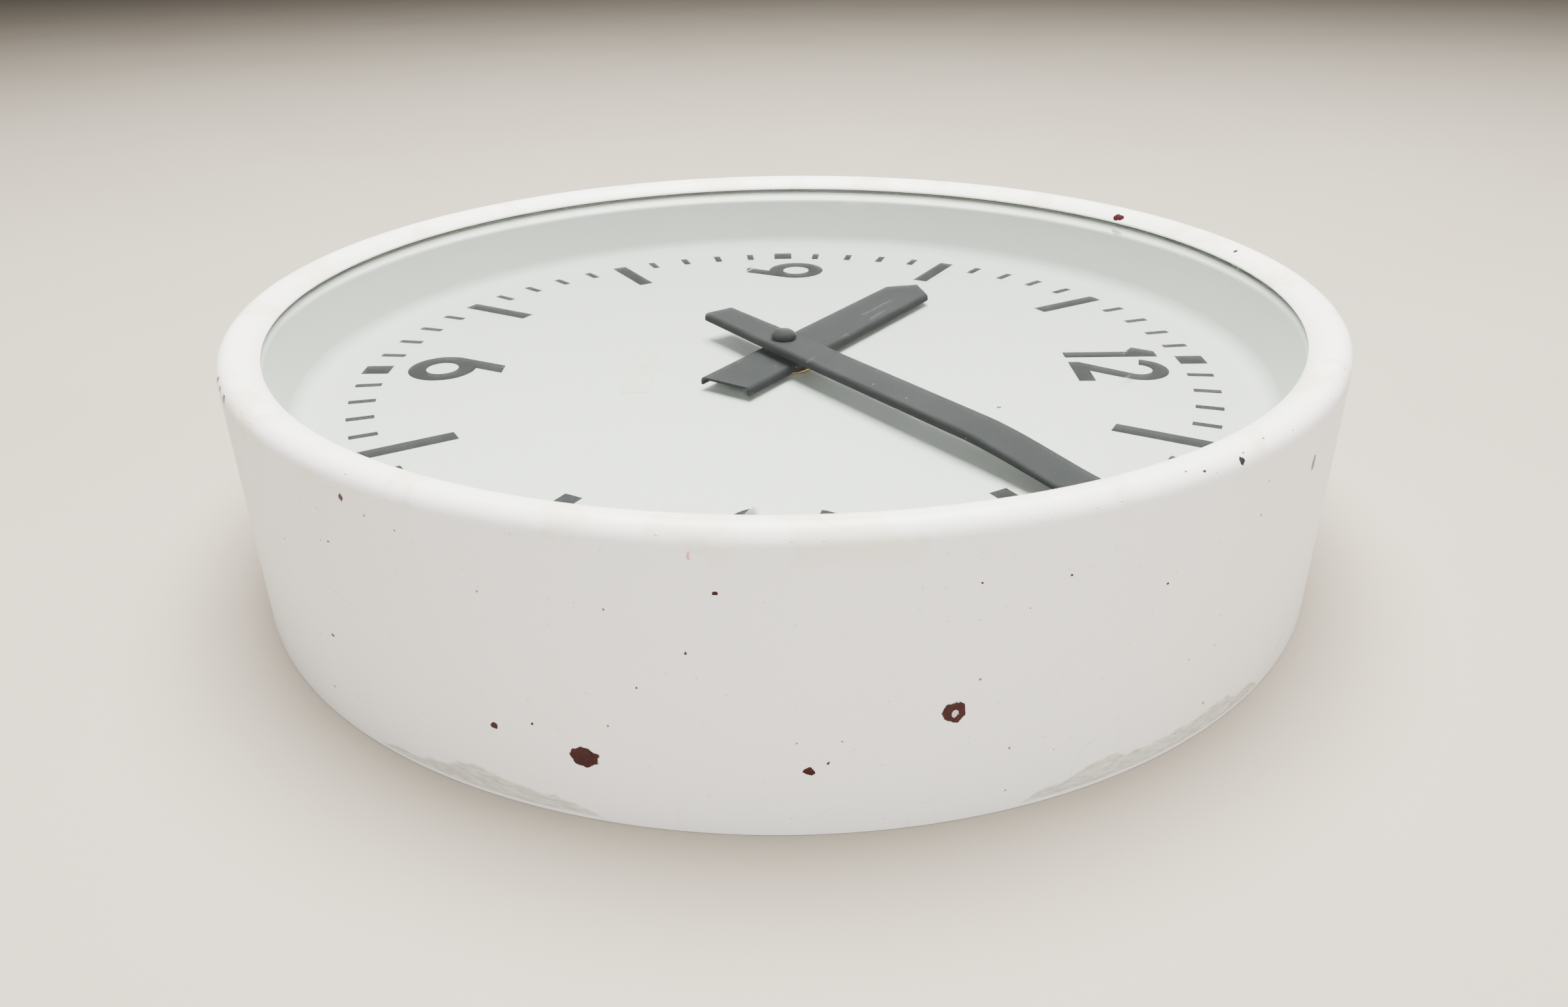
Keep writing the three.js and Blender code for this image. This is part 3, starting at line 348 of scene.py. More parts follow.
def simple_finish(name, dark, light, rough, patches=30.0, bump=None, dust=0.0, **constants):
    finish, tree, shader, place = blank_finish(name, **constants)
    colour = blend_colours(tree, clouds(tree, place, patches, 1.6), dark, light)
    if dust:
        motes = use(tree, specks, Position=place, Specks_per_metre=260.0, Largest=0.22,
                    Share_kept=dust)
        colour = lay_over(tree, colour, DUST, motes.outputs["Mask"])
    paint(tree, shader, colour, clouds(tree, place, patches * 2.3, 1.8), rough)
    if bump:
        scale, strength, lumps = bump
        skin = use(tree, ripple, Position=place, Ripples_per_metre=scale, Lumps=lumps)
        emboss(tree, shader, skin.outputs[0], strength, 0.0002)
    return finish


floor_finish = simple_finish("pale_floor", linear(154, 143, 128), linear(160, 150, 135),
                             (0.7, 0.8), patches=3.0)
print("finish", floor_finish.name)

# %% [markdown]
# ## Mesh helpers
# A clock is mostly round, so most pieces are a profile turned about the middle, as on a lathe.
# Real edges are never knife sharp: `rounded` puts a small curve on each corner of a profile, and
# the light catches those curves. Flat pieces are outlines given a thickness and a bevel.

# %% Outlines


def arc(cx, cy, radius, start, end, steps):
    return [(cx + radius * math.cos(math.radians(start + (end - start) * i / steps)),
             cy + radius * math.sin(math.radians(start + (end - start) * i / steps)))
            for i in range(steps + 1)]


def rounded(corners, steps=4):
    """A closed outline from (x, y, radius) corners, each eased by a curve of about its radius."""
    points = []
    count = len(corners)
    for i, (x, y, radius) in enumerate(corners):
        here = Vector((x, y))
        back = Vector(corners[i - 1][:2]) - here
        on = Vector(corners[(i + 1) % count][:2]) - here
        if radius <= 0:
            points.append((x, y))
            continue
        half = back.angle(on) / 2
        reach = min(radius / math.tan(half), back.length * 0.49, on.length * 0.49)
        first, last = here + back.normalized() * reach, here + on.normalized() * reach
        for k in range(steps + 1):
            t = k / steps
            point = first * (1 - t) ** 2 + here * 2 * t * (1 - t) + last * t * t
            points.append((point.x, point.y))
    return points


def box_outline(left, low, right, high, radius=0.0, steps=3):
    return rounded([(left, low, radius), (right, low, radius), (right, high, radius),
                    (left, high, radius)], steps)


def circle(radius, cx=0.0, cy=0.0, count=32):
    return [(cx + radius * math.cos(2 * math.pi * k / count),
             cy + radius * math.sin(2 * math.pi * k / count)) for k in range(count)]


print("a square eased at its corners has", len(box_outline(0, 0, 1, 1, 0.1)), "points")

# %% From outlines to pieces


def turn_and_move(piece, degrees, axis="Z", shift=(0, 0, 0)):
    """Turn a mesh about one axis of the clock, then move it by millimetres."""
    piece.data.transform(Matrix.Translation(Vector(shift) * MM)
                         @ Matrix.Rotation(math.radians(degrees), 4, axis))


def mesh_object(name, points, faces, smooth=40, shift=(0, 0, 0)):
    """A mesh in millimetres becomes an object in metres, with its faces turned outwards."""
    mesh = bpy.data.meshes.new(name)
    mesh.from_pydata([Vector(p) * MM + Vector(shift) * MM for p in points], [], faces)
    work = bmesh.new()
    work.from_mesh(mesh)
    bmesh.ops.remove_doubles(work, verts=work.verts, dist=1e-7)
    bmesh.ops.recalc_face_normals(work, faces=work.faces)
    work.to_mesh(mesh)
    work.free()
    mesh.shade_smooth()
    mesh.set_sharp_from_angle(angle=math.radians(smooth))
    piece = bpy.data.objects.new(name, mesh)
    bpy.context.scene.collection.objects.link(piece)
    return piece


def turned(name, profile, steps=128, smooth=40, shift=(0, 0, 0)):
    """A closed (radius, height) outline turned about the dial's axis."""
    points, faces, rows = [], [], []
    for r, z in profile:
        if r < 1e-6:
            rows.append([len(points)] * steps)
            points.append((0, 0, z))
            continue
        rows.append(list(range(len(points), len(points) + steps)))
        for i in range(steps):
            a = 2 * math.pi * i / steps
            points.append((r * math.cos(a), r * math.sin(a), z))
    for one, two in zip(rows, rows[1:] + rows[:1]):
        for i in range(steps):
            j = (i + 1) % steps
            corners = [one[i], one[j], two[j], two[i]]
            corners = [c for k, c in enumerate(corners) if c not in corners[:k]]
            if len(corners) > 2:
                faces.append(corners)
    return mesh_object(name, points, faces, smooth, shift)


def plate(name, outline, low, high, holes=(), bevel=0.0, shift=(0, 0, 0), smooth=40):
    """A flat outline, with any holes, given a thickness and softened edges."""
    loops = [list(outline)] + [list(hole) for hole in holes]
    flat = [p for loop in loops for p in loop]
    caps = tessellate_polygon([[Vector((x, y, 0)) for x, y in loop] for loop in loops])
    count = len(flat)
    points = [(x, y, low) for x, y in flat] + [(x, y, high) for x, y in flat]
    faces = [tuple(t) for t in caps] + [tuple(i + count for i in t) for t in caps]
    start = 0
    for loop in loops:
        size = len(loop)
        for i in range(size):
            a, b = start + i, start + (i + 1) % size
            faces.append((a, b, b + count, a + count))
        start += size
    piece = mesh_object(name, points, faces, smooth, shift)
    if bevel:
        soften(piece, bevel)
    return piece


def soften(piece, width):
    edge = piece.modifiers.new("soft edges", "BEVEL")
    edge.width = width * MM
    edge.segments = 2
    edge.limit_method = "ANGLE"
    edge.angle_limit = math.radians(35)


def dress(piece, body, finish, slot, *nodes):
    """Give a piece its finish, tie it to a moving body and let it stand for its CAD nodes."""
    shading = piece.modifiers.new("flat faces stay flat", "WEIGHTED_NORMAL")
    shading.keep_sharp = True
    piece.data.materials.clear()
    piece.data.materials.append(finish)
    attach(piece, body)
    if nodes:
        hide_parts(*nodes)
    print(f"{piece.name}: {len(piece.data.polygons)} faces on {body}")
    return piece


print("pieces can now be turned, cut from plate and dressed")

# %% Floor
FLOOR_HALF, FLOOR_THICK = 9000, 6
floor = plate("floor", box_outline(-FLOOR_HALF, -FLOOR_HALF, FLOOR_HALF, FLOOR_HALF),
              -FLOOR_THICK, 0)
floor.data.materials.append(floor_finish)
print("floor under the clock")

# %% [markdown]
# ## White enamel
# The drum wears sprayed white enamel over a dark red primer. Years of knocks have left chips that
# show the primer, small pits, trapped dust, a worn grey strip near the rear edge and cream stains
# along the rim. A chip is a spot given by its place around the drum. To measure it along the
# curve, the position is first unrolled into distance around, radius and height.

# %% Group: unrolled position
unroll, unroll_in, unroll_out = new_group(
    "unrolled_position", [("Position", "vector", None)], [("Unrolled", "vector")])
parts = node(unroll, "SeparateXYZ", {0: unroll_in.outputs["Position"]})
around = maths(unroll, "MULTIPLY", maths(unroll, "ARCTAN2", parts.outputs[1], parts.outputs[0]),
               RADIUS)
flat_place = node(unroll, "CombineXYZ", {0: parts.outputs[0], 1: parts.outputs[1]})
from_axis = node(unroll, "VectorMath", {0: flat_place.outputs[0]}, operation="LENGTH").outputs[1]
joined = node(unroll, "CombineXYZ", {0: around, 1: maths(unroll, "DIVIDE", from_axis, MM),
                                     2: maths(unroll, "DIVIDE", parts.outputs[2], MM)})
unroll.links.new(joined.outputs[0], unroll_out.inputs["Unrolled"])
print("group", unroll.name)

# %% Group: one spot
spot, spot_in, spot_out = new_group(
    "one_spot",
    [("Unrolled", "vector", None), ("Centre", "vector", None), ("Half size", "vector", None),
     ("Others", "value", 9.0)],
    [("Distance", "value")])
offset = vector_maths(spot, "SUBTRACT", spot_in.outputs["Unrolled"], spot_in.outputs["Centre"])
in_half_sizes = vector_maths(spot, "DIVIDE", offset, spot_in.outputs["Half size"])
away = node(spot, "VectorMath", {0: in_half_sizes}, operation="LENGTH").outputs[1]
spot.links.new(maths(spot, "MINIMUM", away, spot_in.outputs["Others"]), spot_out.inputs["Distance"])
print("group", spot.name)

# %% [markdown]
# The chips of this clock, each as degrees around from the 3, radius, height, and its half sizes
# around, inwards and up. The lists are short enough to give one by one, so each knock is a choice
# and not a dice throw. On the straight side the size inwards is LOOSE, so large that it plays no
# part.

# %% Where the enamel is chipped
LOOSE = 30.0
primer_chips = [
    (-15.6, RADIUS, 21.0, 4.2, LOOSE, 3.1),
    (12.2, RADIUS, 36.3, 3.2, LOOSE, 3.2),
    (1.5, RADIUS, 21.3, 1.5, LOOSE, 1.4),
    (-23.2, RADIUS, 25.0, 1.1, LOOSE, 1.2),
    (-35.6, RADIUS - 1, 83.0, 1.2, LOOSE, 1.1),
    (-4.8, RADIUS, 74.9, 0.85, LOOSE, 0.5),
    (-19.8, RADIUS, 28.9, 0.55, LOOSE, 0.5),
    (124.4, 188.0, 89.2, 2.9, 1.7, 2.6),
]
metal_chips = [
    (50.3, RADIUS, 73.5, 1.3, LOOSE, 2.7),
    (36.8, 199.6, 89.2, 1.2, 1.6, 1.6),
    (32.6, RADIUS, 90.0, 0.6, 3.0, 0.7),
    (-63.4, 199.4, 88.6, 1.9, 1.4, 0.9),
    (-61.1, 199.4, 88.4, 1.6, 1.2, 0.8),
    (-58.5, 199.6, 87.9, 2.2, 1.6, 1.5),
    (102.1, 190.0, 90.6, 1.2, 0.9, 1.2),
    (-41.4, RADIUS, 32.3, 0.75, LOOSE, 0.6),
    (-7.2, RADIUS, 57.3, 0.5, LOOSE, 0.5),
    (-11.0, RADIUS, 45.7, 0.4, LOOSE, 0.4),
    (2.9, RADIUS, 23.7, 0.45, LOOSE, 0.4),
    (13.6, RADIUS, 73.9, 0.45, LOOSE, 0.45),
    (20.6, RADIUS, 71.6, 0.4, LOOSE, 0.4),
    (30.0, RADIUS, 60.6, 0.4, LOOSE, 0.4),
    (-38.7, RADIUS, 66.5, 0.5, LOOSE, 0.4),
]
print(len(primer_chips), "chips down to the primer,", len(metal_chips), "down to the metal")

# %% White enamel: where each layer shows


def spots(tree, unrolled, chips):
    nearest = 9.0
    for degrees, r, z, around_by, inward_by, up_by in chips:
        nearest = use(tree, spot, Unrolled=unrolled, Others=nearest,
                      Centre=(math.radians(degrees) * RADIUS, r, z),
                      Half_size=(around_by, inward_by, up_by)).outputs[0]
    return nearest


enamel, tree, shader, place = blank_finish("white_enamel", IOR=1.4, Specular_IOR_Level=0.35)
unrolled = use(tree, unroll, Position=place).outputs[0]
noise = node(tree, "TexNoise", {"Vector": place, "Scale": 420.0, "Detail": 3.0})
wobble = scaled(tree, vector_maths(tree, "SUBTRACT", noise.outputs["Color"], (0.5, 0.5, 0.5)), 2.6)
ragged = vector_maths(tree, "ADD", unrolled, wobble)
primer_mask = ramp(tree, spots(tree, ragged, primer_chips), 1.04, 0.94)
metal_mask = ramp(tree, spots(tree, ragged, metal_chips), 1.05, 0.9)
chip_mask = maths(tree, "MAXIMUM", primer_mask, metal_mask)
around_drum, from_middle, above_floor = node(tree, "SeparateXYZ", {0: unrolled}).outputs
print("masks for the chips:", len(tree.nodes), "nodes so far")

# %% White enamel: broad clouds, and cream stains on the rim
warm = blend_colours(tree, clouds(tree, place, 7.0, 2.2), linear(236, 235, 230),
                     linear(243, 238, 233))
close = clouds(tree, place, 55.0, 1.2)
body_colour = lay_over(tree, warm, linear(228, 227, 220), close, 0.25)
on_rim = ramp(tree, above_floor, TOP - 13, TOP - 2)
stain = maths(tree, "MULTIPLY", ramp(tree, clouds(tree, place, 34.0, 5.5), 0.72, 1.0), on_rim)
body_colour = lay_over(tree, body_colour, linear(226, 216, 188), stain, 0.6)
print("sound enamel:", len(tree.nodes), "nodes so far")

# %% [markdown]
# The worn strip near the rear edge is grey and sanded. It rises in two places, where the drum has
# stood on its corner. Its top is a height that changes around the drum, frayed by a noise, and
# everything between that height and the edge is worn.

# %% White enamel: the worn strip


def swell(degrees, outer_reach, inner_reach, rise):
    along = maths(tree, "SUBTRACT", around_drum, math.radians(degrees) * RADIUS)
    return ramp(tree, maths(tree, "ABSOLUTE", along), outer_reach, inner_reach, 0.0, rise)


fray = node(tree, "TexNoise", {"Vector": place, "Scale": 70.0, "Detail": 3.0, "Roughness": 0.5})
worn_height = maths(tree, "MAXIMUM", swell(-25, 52, 0, 9), swell(33, 66, 22, 8))
worn_height = maths(tree, "ADD", worn_height, ramp(tree, fray.outputs[0], 0.3, 0.7, -1.7, 1.1))
below_strip_top = maths(tree, "SUBTRACT", worn_height, above_floor)
worn = maths(tree, "MULTIPLY", ramp(tree, below_strip_top, -0.2, 0.9),
             ramp(tree, above_floor, 0.9, 1.7))
grain = vector_maths(tree, "MULTIPLY", place, (1, 1, 6))
sanded = node(tree, "TexNoise", {"Vector": grain, "Scale": 190.0, "Detail": 5.0,
                                 "Roughness": 0.7}).outputs[0]
worn_colour = blend_colours(tree, ramp(tree, sanded, 0.3, 0.7), linear(164, 160, 149),
                            linear(216, 211, 199))
body_colour = lay_over(tree, body_colour, worn_colour, worn, 0.85)
print("worn strip:", len(tree.nodes), "nodes so far")

# %% [markdown]
# Pits and trapped dust are dots on the sheet as if it were rolled out flat. Pits are dark and
# sunk, and the nibs of dust keep the enamel's colour and only stand up from it.

# %% White enamel: pits, nibs and scratches
along_sheet = maths(tree, "SUBTRACT", above_floor, from_middle)
on_sheet = node(tree, "CombineXYZ", {0: around_drum, 1: along_sheet}).outputs[0]
on_sheet = scaled(tree, on_sheet, MM)
pits = use(tree, dots, Position=on_sheet, Specks_per_metre=85.0, Largest=0.05, Share_kept=0.22)
nibs = use(tree, dots, Position=on_sheet, Specks_per_metre=130.0, Largest=0.09, Share_kept=0.3)
scuffs = use(tree, scratch, Position=place, Lines_per_metre=26.0, Turn=0.9, Thinness=0.9955)
body_colour = lay_over(tree, body_colour, linear(60, 56, 52), pits.outputs["Mask"], 0.85)
body_colour = lay_over(tree, body_colour, linear(190, 188, 182), scuffs.outputs[0], 0.25)
print("pits and scratches:", len(tree.nodes), "nodes so far")

# %% [markdown]
# Large chips show the dark red primer and small ones the bare metal. One chip has kept a bit of
# enamel in its middle, and one knock has only smeared the primer into a pink streak.

# %% White enamel: colours in the chips
rust = clouds(tree, place, 700.0, 2.5)
primer = blend_colours(tree, rust, linear(24, 0, 3), linear(60, 3, 9))
metal = blend_colours(tree, rust, linear(18, 21, 20), linear(58, 60, 57))
body_colour = lay_over(tree, body_colour, primer, primer_mask)
body_colour = lay_over(tree, body_colour, metal, metal_mask)
left_enamel = ramp(tree, spots(tree, ragged, [(12.3, RADIUS, 35.9, 1.0, LOOSE, 1.1)]), 1.0, 0.85)
body_colour = lay_over(tree, body_colour, linear(196, 176, 170), left_enamel)
smear = ramp(tree, spots(tree, ragged, [(-6.6, RADIUS, 84.7, 0.5, LOOSE, 1.6)]), 1.1, 0.6)
body_colour = lay_over(tree, body_colour, linear(205, 92, 104), smear, 0.7)
tree.links.new(body_colour, shader.inputs["Base Color"])
print("chips:", len(tree.nodes), "nodes so far")

# %% [markdown]
# Gloss and relief are sums: each effect above, times how much it counts. What counts below zero
# makes the surface glossier or lower.

# %% White enamel: gloss and relief
gloss = ramp(tree, close, 0.0, 1.0, 0.30, 0.42)
gloss = weighted_sum(tree, gloss, (worn, 0.3), (chip_mask, -0.08))
tree.links.new(gloss, shader.inputs["Roughness"])
skin = use(tree, ripple, Position=place, Ripples_per_metre=230.0, Lumps=1.6).outputs[0]
sanded_strip = maths(tree, "MULTIPLY", sanded, worn)
relief = weighted_sum(tree, 0.0, (skin, 0.16), (nibs.outputs["Height"], 1.6),
                      (pits.outputs["Height"], -0.8), (chip_mask, -1.1), (worn, -0.35),
                      (sanded_strip, 0.5))
emboss(tree, shader, relief, 0.8, 0.00022)
print("finish", enamel.name, "with", len(tree.nodes), "nodes")

# %% [markdown]
# ## The drum
# The drum is one sheet: a straight side, a generous outer roll at the front, a short flat on top
# and a tighter roll inwards that ends in a lip over the glass. At the back the sheet is folded
# into a small hem. Its profile is drawn once and turned. Real sheet is never dead true, so the
# side is pushed in by less than a tenth of a millimetre here and there, and deeper at one crease.

# %% Drum profile
rim_roll, lip_roll, sheet = 5.5, 10.6, 1.3
outer_centre, outer_height = RADIUS - rim_roll, TOP - rim_roll
inner_centre, inner_height = RADIUS - 5.0, TOP - lip_roll
lip_turn, half_sheet = 143, sheet / 2
lip_middle = (inner_centre + (lip_roll - half_sheet) * math.cos(math.radians(lip_turn)),
              inner_height + (lip_roll - half_sheet) * math.sin(math.radians(lip_turn)))
lip_radius = lip_middle[0] - half_sheet
inside, hem_inside, hem_top, edge_ease, side_rows = RADIUS - sheet, RADIUS - 3.0, 4.0, 0.4, 30
case_profile = (
    [(RADIUS - 0.35, 0.0), (RADIUS - 0.1, 0.12), (RADIUS, edge_ease)]
    + [(RADIUS, edge_ease + (outer_height - edge_ease) * k / side_rows)
       for k in range(1, side_rows)]
    + arc(outer_centre, outer_height, rim_roll, 0, 90, 14)
    + arc(inner_centre, inner_height, lip_roll, 90, lip_turn, 14)
    + arc(*lip_middle, half_sheet, lip_turn + 20, lip_turn + 160, 5)
    + arc(inner_centre, inner_height, lip_roll - sheet, lip_turn, 90, 8)
    + arc(outer_centre, outer_height, rim_roll - sheet, 90, 0, 10)
    + [(inside, 60), (inside, 30), (inside, hem_top + 0.3)]
    + rounded([(inside - 0.1, hem_top, 0), (hem_inside, hem_top - 0.4, 0.6),
               (hem_inside, 0.0, 0.5), (RADIUS - 1.2, 0.0, 0)]))
print(f"drum profile of {len(case_profile)} points, lip over the glass at {lip_radius:.1f}")

# %% Drum, and the waves in its sheet
WAVES = ((5, 0.7, 0.0, 0.035), (13, 0.0, 0.05, 0.03), (31, 1.3, -0.09, 0.014))
CREASE_AT, CREASE_WIDTH, CREASE_DEPTH = -40.5, 2.2, 0.22
SIDE_LOW, SIDE_HIGH, FADE = 3, TOP - 7, 12
drum = turned("drum", case_profile, 384)
for vertex in drum.data.vertices:
    x, y, z = vertex.co / MM
    r, a = math.hypot(x, y), math.atan2(y, x)
    if r > RADIUS - 0.7 and SIDE_LOW < z < SIDE_HIGH:
        wave = sum(depth * math.sin(count * a + start + slant * z)
                   for count, start, slant, depth in WAVES)
        crease = CREASE_DEPTH * math.exp(-((math.degrees(a) - CREASE_AT) / CREASE_WIDTH) ** 2)
        fade = min(1.0, (z - SIDE_LOW) / FADE, (SIDE_HIGH - z) / FADE)
        pushed = r - (abs(wave) + crease) * fade
        vertex.co = Vector((x / r * pushed, y / r * pushed, z)) * MM
dress(drum, "clock_body", enamel, "case_paint", "case_shell")

# %% [markdown]
# ## Glass and its gasket
# The glass is plain flat float glass, slightly green through its edge, with its rim ground round.
# A dark rubber ring sits between it and the lip. A path tracer finds lamps through glass slowly,
# so light on its way to the dial passes straight through, slightly dimmed. What the camera sees
# of the glass is still bent and mirrored as glass should be.

# %% Gasket
rubber = simple_finish("black_rubber", linear(56, 56, 52), linear(84, 83, 78), (0.6, 0.8),
                       patches=60.0, bump=(900.0, 0.5, 0.2), dust=0.2)
gasket_low, gasket_high = span("glass_gasket")
behind_lip = 0.35
gasket = turned("glass_gasket_ring",
                box_outline(lip_radius + behind_lip, gasket_low[2], gasket_high[0],
                            gasket_high[2], 0.15), 256)
dress(gasket, "clock_body", rubber, "rubber", "glass_gasket")

# %% Clear glass
glass_finish, tree, shader, place = blank_finish(
    "clear_glass", Transmission_Weight=1.0, IOR=1.47, Metallic=0.0)
tint = blend_colours(tree, clouds(tree, place, 4.0, 1.0), (0.965, 0.985, 0.975),
                     (0.985, 0.995, 0.99))
tree.links.new(tint, shader.inputs["Base Color"])
hairlines = use(tree, scratch, Position=place, Lines_per_metre=14.0, Turn=2.2, Thinness=0.997)
dusting = use(tree, specks, Position=place, Specks_per_metre=210.0, Largest=0.07, Share_kept=0.12)
wiped = ramp(tree, clouds(tree, place, 9.0, 2.0), 0.5, 1.0, 0.0, 0.02)
haze = weighted_sum(tree, wiped, (hairlines.outputs[0], 0.12), (dusting.outputs["Mask"], 0.3))
tree.links.new(haze, shader.inputs["Roughness"])
path = node(tree, "LightPath")
lamp_ray = maths(tree, "MAXIMUM", path.outputs["Is Shadow Ray"], path.outputs["Is Diffuse Ray"])
clear = node(tree, "BsdfTransparent", {"Color": (0.94, 0.955, 0.945, 1)})
pane_mix = node(tree, "MixShader", {0: lamp_ray, 1: shader.outputs[0], 2: clear.outputs[0]})
tree.links.new(pane_mix.outputs[0], tree.nodes["Material Output"].inputs["Surface"])
print("finish", glass_finish.name)

# %% Glass pane
glass_back, (glass_edge, _, glass_front) = span("glass_pane")[0][2], span("glass_pane")[1]
near_edge = glass_edge - 3
pane = turned("glass_disc", rounded([
    (0, glass_back, 0), (near_edge, glass_back, 0), (glass_edge, glass_back, 0.5),
    (glass_edge, glass_front, 0.5), (near_edge, glass_front, 0), (0, glass_front, 0)]), 256)
dress(pane, "clock_body", glass_finish, "glass", "glass_pane")

# %% [markdown]
# ## Dial
# The dial is a spun pan: a flat floor, a smooth cove and a wall that rises to the glass. One sheet
# of steel makes all three, so it is one turned profile too. Its lacquer is a soft greenish white.

# %% Dial lacquer
dial_finish, tree, shader, place = blank_finish("dial_lacquer", IOR=1.45)
lacquer = blend_colours(tree, clouds(tree, place, 6.0, 1.6), linear(191, 195, 187),
                        linear(195, 198, 191))
freckle = use(tree, specks, Position=place, Specks_per_metre=55.0, Largest=0.03, Share_kept=0.12)
lacquer = lay_over(tree, lacquer, linear(150, 150, 142), freckle.outputs["Mask"], 0.5)
nicks = use(tree, scratch, Position=place, Lines_per_metre=9.0, Turn=1.9, Thinness=0.9975)
lacquer = lay_over(tree, lacquer, linear(170, 172, 165), nicks.outputs[0], 0.16)
knock = (46.2 * MM, 76.8 * MM, DIAL * MM)
from_knock = node(tree, "VectorMath", {0: place, 1: knock}, operation="DISTANCE").outputs[1]
dark_dot = ramp(tree, from_knock, 1.1 * MM, 0.7 * MM)
lacquer = lay_over(tree, lacquer, linear(24, 24, 22), dark_dot)
paint(tree, shader, lacquer, clouds(tree, place, 30.0, 1.5), (0.48, 0.58))
skin = use(tree, ripple, Position=place, Ripples_per_metre=500.0, Lumps=0.6)
emboss(tree, shader, skin.outputs[0], 0.25, 0.0001)
print("finish", dial_finish.name)

# %% Dial pan
floor_radius, cove, wall_top, hole = RADIUS - 24, 7.0, 188.0, 4.3
flange_top, flange_low = pan_high[2], pan_high[2] - PAN_SHEET
pan_profile = (
    [(hole, DIAL - 0.15), (hole + 0.15, DIAL)]
    + [(r, DIAL) for r in (30, 60, 90, 120, 150, 165)]
    + arc(floor_radius, DIAL + cove, cove, -90, -18, 16)
    + [(wall_top - 0.9, flange_top - 1.6)]
    + rounded([(wall_top - 0.4, flange_top - 0.9, 0), (wall_top + 0.3, flange_top, 0.8),
               (wall_top + 2.5, flange_top, 0)], 4)
    + rounded([(pan_high[0] - 1, flange_top, 0), (pan_high[0], flange_top, 0.3),
               (pan_high[0], flange_low, 0.3), (pan_high[0] - 1, flange_low, 0)], 3)
    + [(wall_top + PAN_SHEET + 0.2, flange_low),
       (floor_radius + cove + PAN_SHEET, DIAL + cove - 2)]
    + arc(floor_radius, DIAL + cove, cove + PAN_SHEET, -18, -90, 12)
    + [(r, DIAL - PAN_SHEET) for r in (120, 60, 20)]
    + [(hole, DIAL - PAN_SHEET)])
pan = turned("dial_pan_sheet", pan_profile, 320, smooth=32)
dress(pan, "clock_body", dial_finish, "dial_paint", "dial_pan")

# %% [markdown]
# ## Printing on the dial
# The hour bars, the minute marks and the four numerals are printed in dark grey. Each is a very
# thin plate of ink, a tenth of a millimetre thick, so its edge stays crisp from any distance.
# The marks are simple bars turned to their places.

# %% Ink and marks
ink = simple_finish("dial_ink", linear(17, 18, 18), linear(22, 23, 23), (0.7, 0.8), patches=90.0,
                    bump=(1500.0, 0.2, 0.2), IOR=1.35, Specular_IOR_Level=0.2)
INK_LOW, INK_HIGH = DIAL + 0.02, DIAL + 0.12


def bar(minute, inner, outer, width, corner):
    """A printed bar's outline that points to the middle at its minute."""
    turn = math.radians(90 - minute * 6)
    return [(u * math.cos(turn) - v * math.sin(turn), u * math.sin(turn) + v * math.cos(turn))
            for u, v in box_outline(inner, -width / 2, outer, width / 2, corner)]


def print_marks(name, outlines):
    """Several thin plates of ink as one piece."""
    points, faces = [], []
    for outline in outlines:
        start, count = len(points), len(outline)
        points += [(x, y, INK_LOW) for x, y in outline] + [(x, y, INK_HIGH) for x, y in outline]
        faces += [tuple(range(start, start + count))[::-1],
                  tuple(range(start + count, start + 2 * count))]
        faces += [(start + i, start + (i + 1) % count, start + count + (i + 1) % count,
                   start + count + i) for i in range(count)]
    return dress(mesh_object(name, points, faces), "clock_body", ink, "dial_paint")


print_marks("minute_marks", [bar(m, 154.3, 164.2, 3.2, 0.25) for m in range(60) if m % 5])
print_marks("hour_bars", [bar(m, 130.6, 163.8, 6.7, 0.1) for m in range(0, 60, 5) if m % 15])
print_marks("quarter_blocks", [bar(m, 154.6, 165.2, 8.8, 0.1) for m in (0, 15, 30, 45)])

# %% [markdown]
# The numerals are drawn from arcs and straight strokes, like letters cut with a compass and a
# ruler. Each outline goes once round the shape. The 6 needs a hole for its bowl, and the 9 is the
# same drawing turned upside down.

# %% Numerals
ONE = [(-4.3, 111.4), (-4.3, 148.0), (-10.4, 148.0), (-15.2, 140.4), (-11.2, 137.3),
       (-10.2, 137.9), (-10.2, 111.4)]
BOWL = (10.0, 136.6)
TWO = (arc(*BOWL, 11.4, 165, -35, 26)
       + [(10.7, 117.7), (21.3, 117.7), (21.3, 111.3), (0.7, 111.3), (0.7, 115.4), (3.3, 118.9)]
       + arc(*BOWL, 5.2, -35, 165, 18))


def six_outline():
    """Its bowl is centred on (0, 0) and its stem leans to the right at the top."""
    bowl, stem_inner, top = 13.2, 6.0, 24.4
    stem = math.radians(63)
    along = Vector((math.cos(stem), math.sin(stem)))
    left = Vector((-along.y, along.x))
    touch = left * bowl
    tip_left = touch + along * ((top - touch.y) / along.y)
    right = left * stem_inner
    tip_right = right + along * ((top - right.y) / along.y)
    meet = right + along * math.sqrt(bowl ** 2 - stem_inner ** 2)
    start = math.degrees(math.atan2(meet.y, meet.x))
    end = math.degrees(math.atan2(touch.y, touch.x))
    return arc(0, 0, bowl, start, end - 360, 44) + [tuple(tip_left), tuple(tip_right)]


def three_outline():
    """Two open bowls, one above the other, that meet in a short bar."""
    upper, lower, meet = (0.2, 8.2), (0.0, -6.5), 20.0
    return (arc(*upper, 9.9, 165, -meet, 22) + arc(*lower, 11.5, 41, -165, 26)
            + arc(*lower, 5.2, -165, 90, 20) + [(-4.4, -1.3), (-4.4, 4.1)]
            + arc(*upper, 4.1, -90, 165, 18))


def numeral(name, outline, holes=(), x=0, y=0, turn=0):
    piece = plate(name, outline, INK_LOW, INK_HIGH, holes)
    turn_and_move(piece, turn, shift=(x, y, 0))
    dress(piece, "clock_body", ink, "dial_paint")


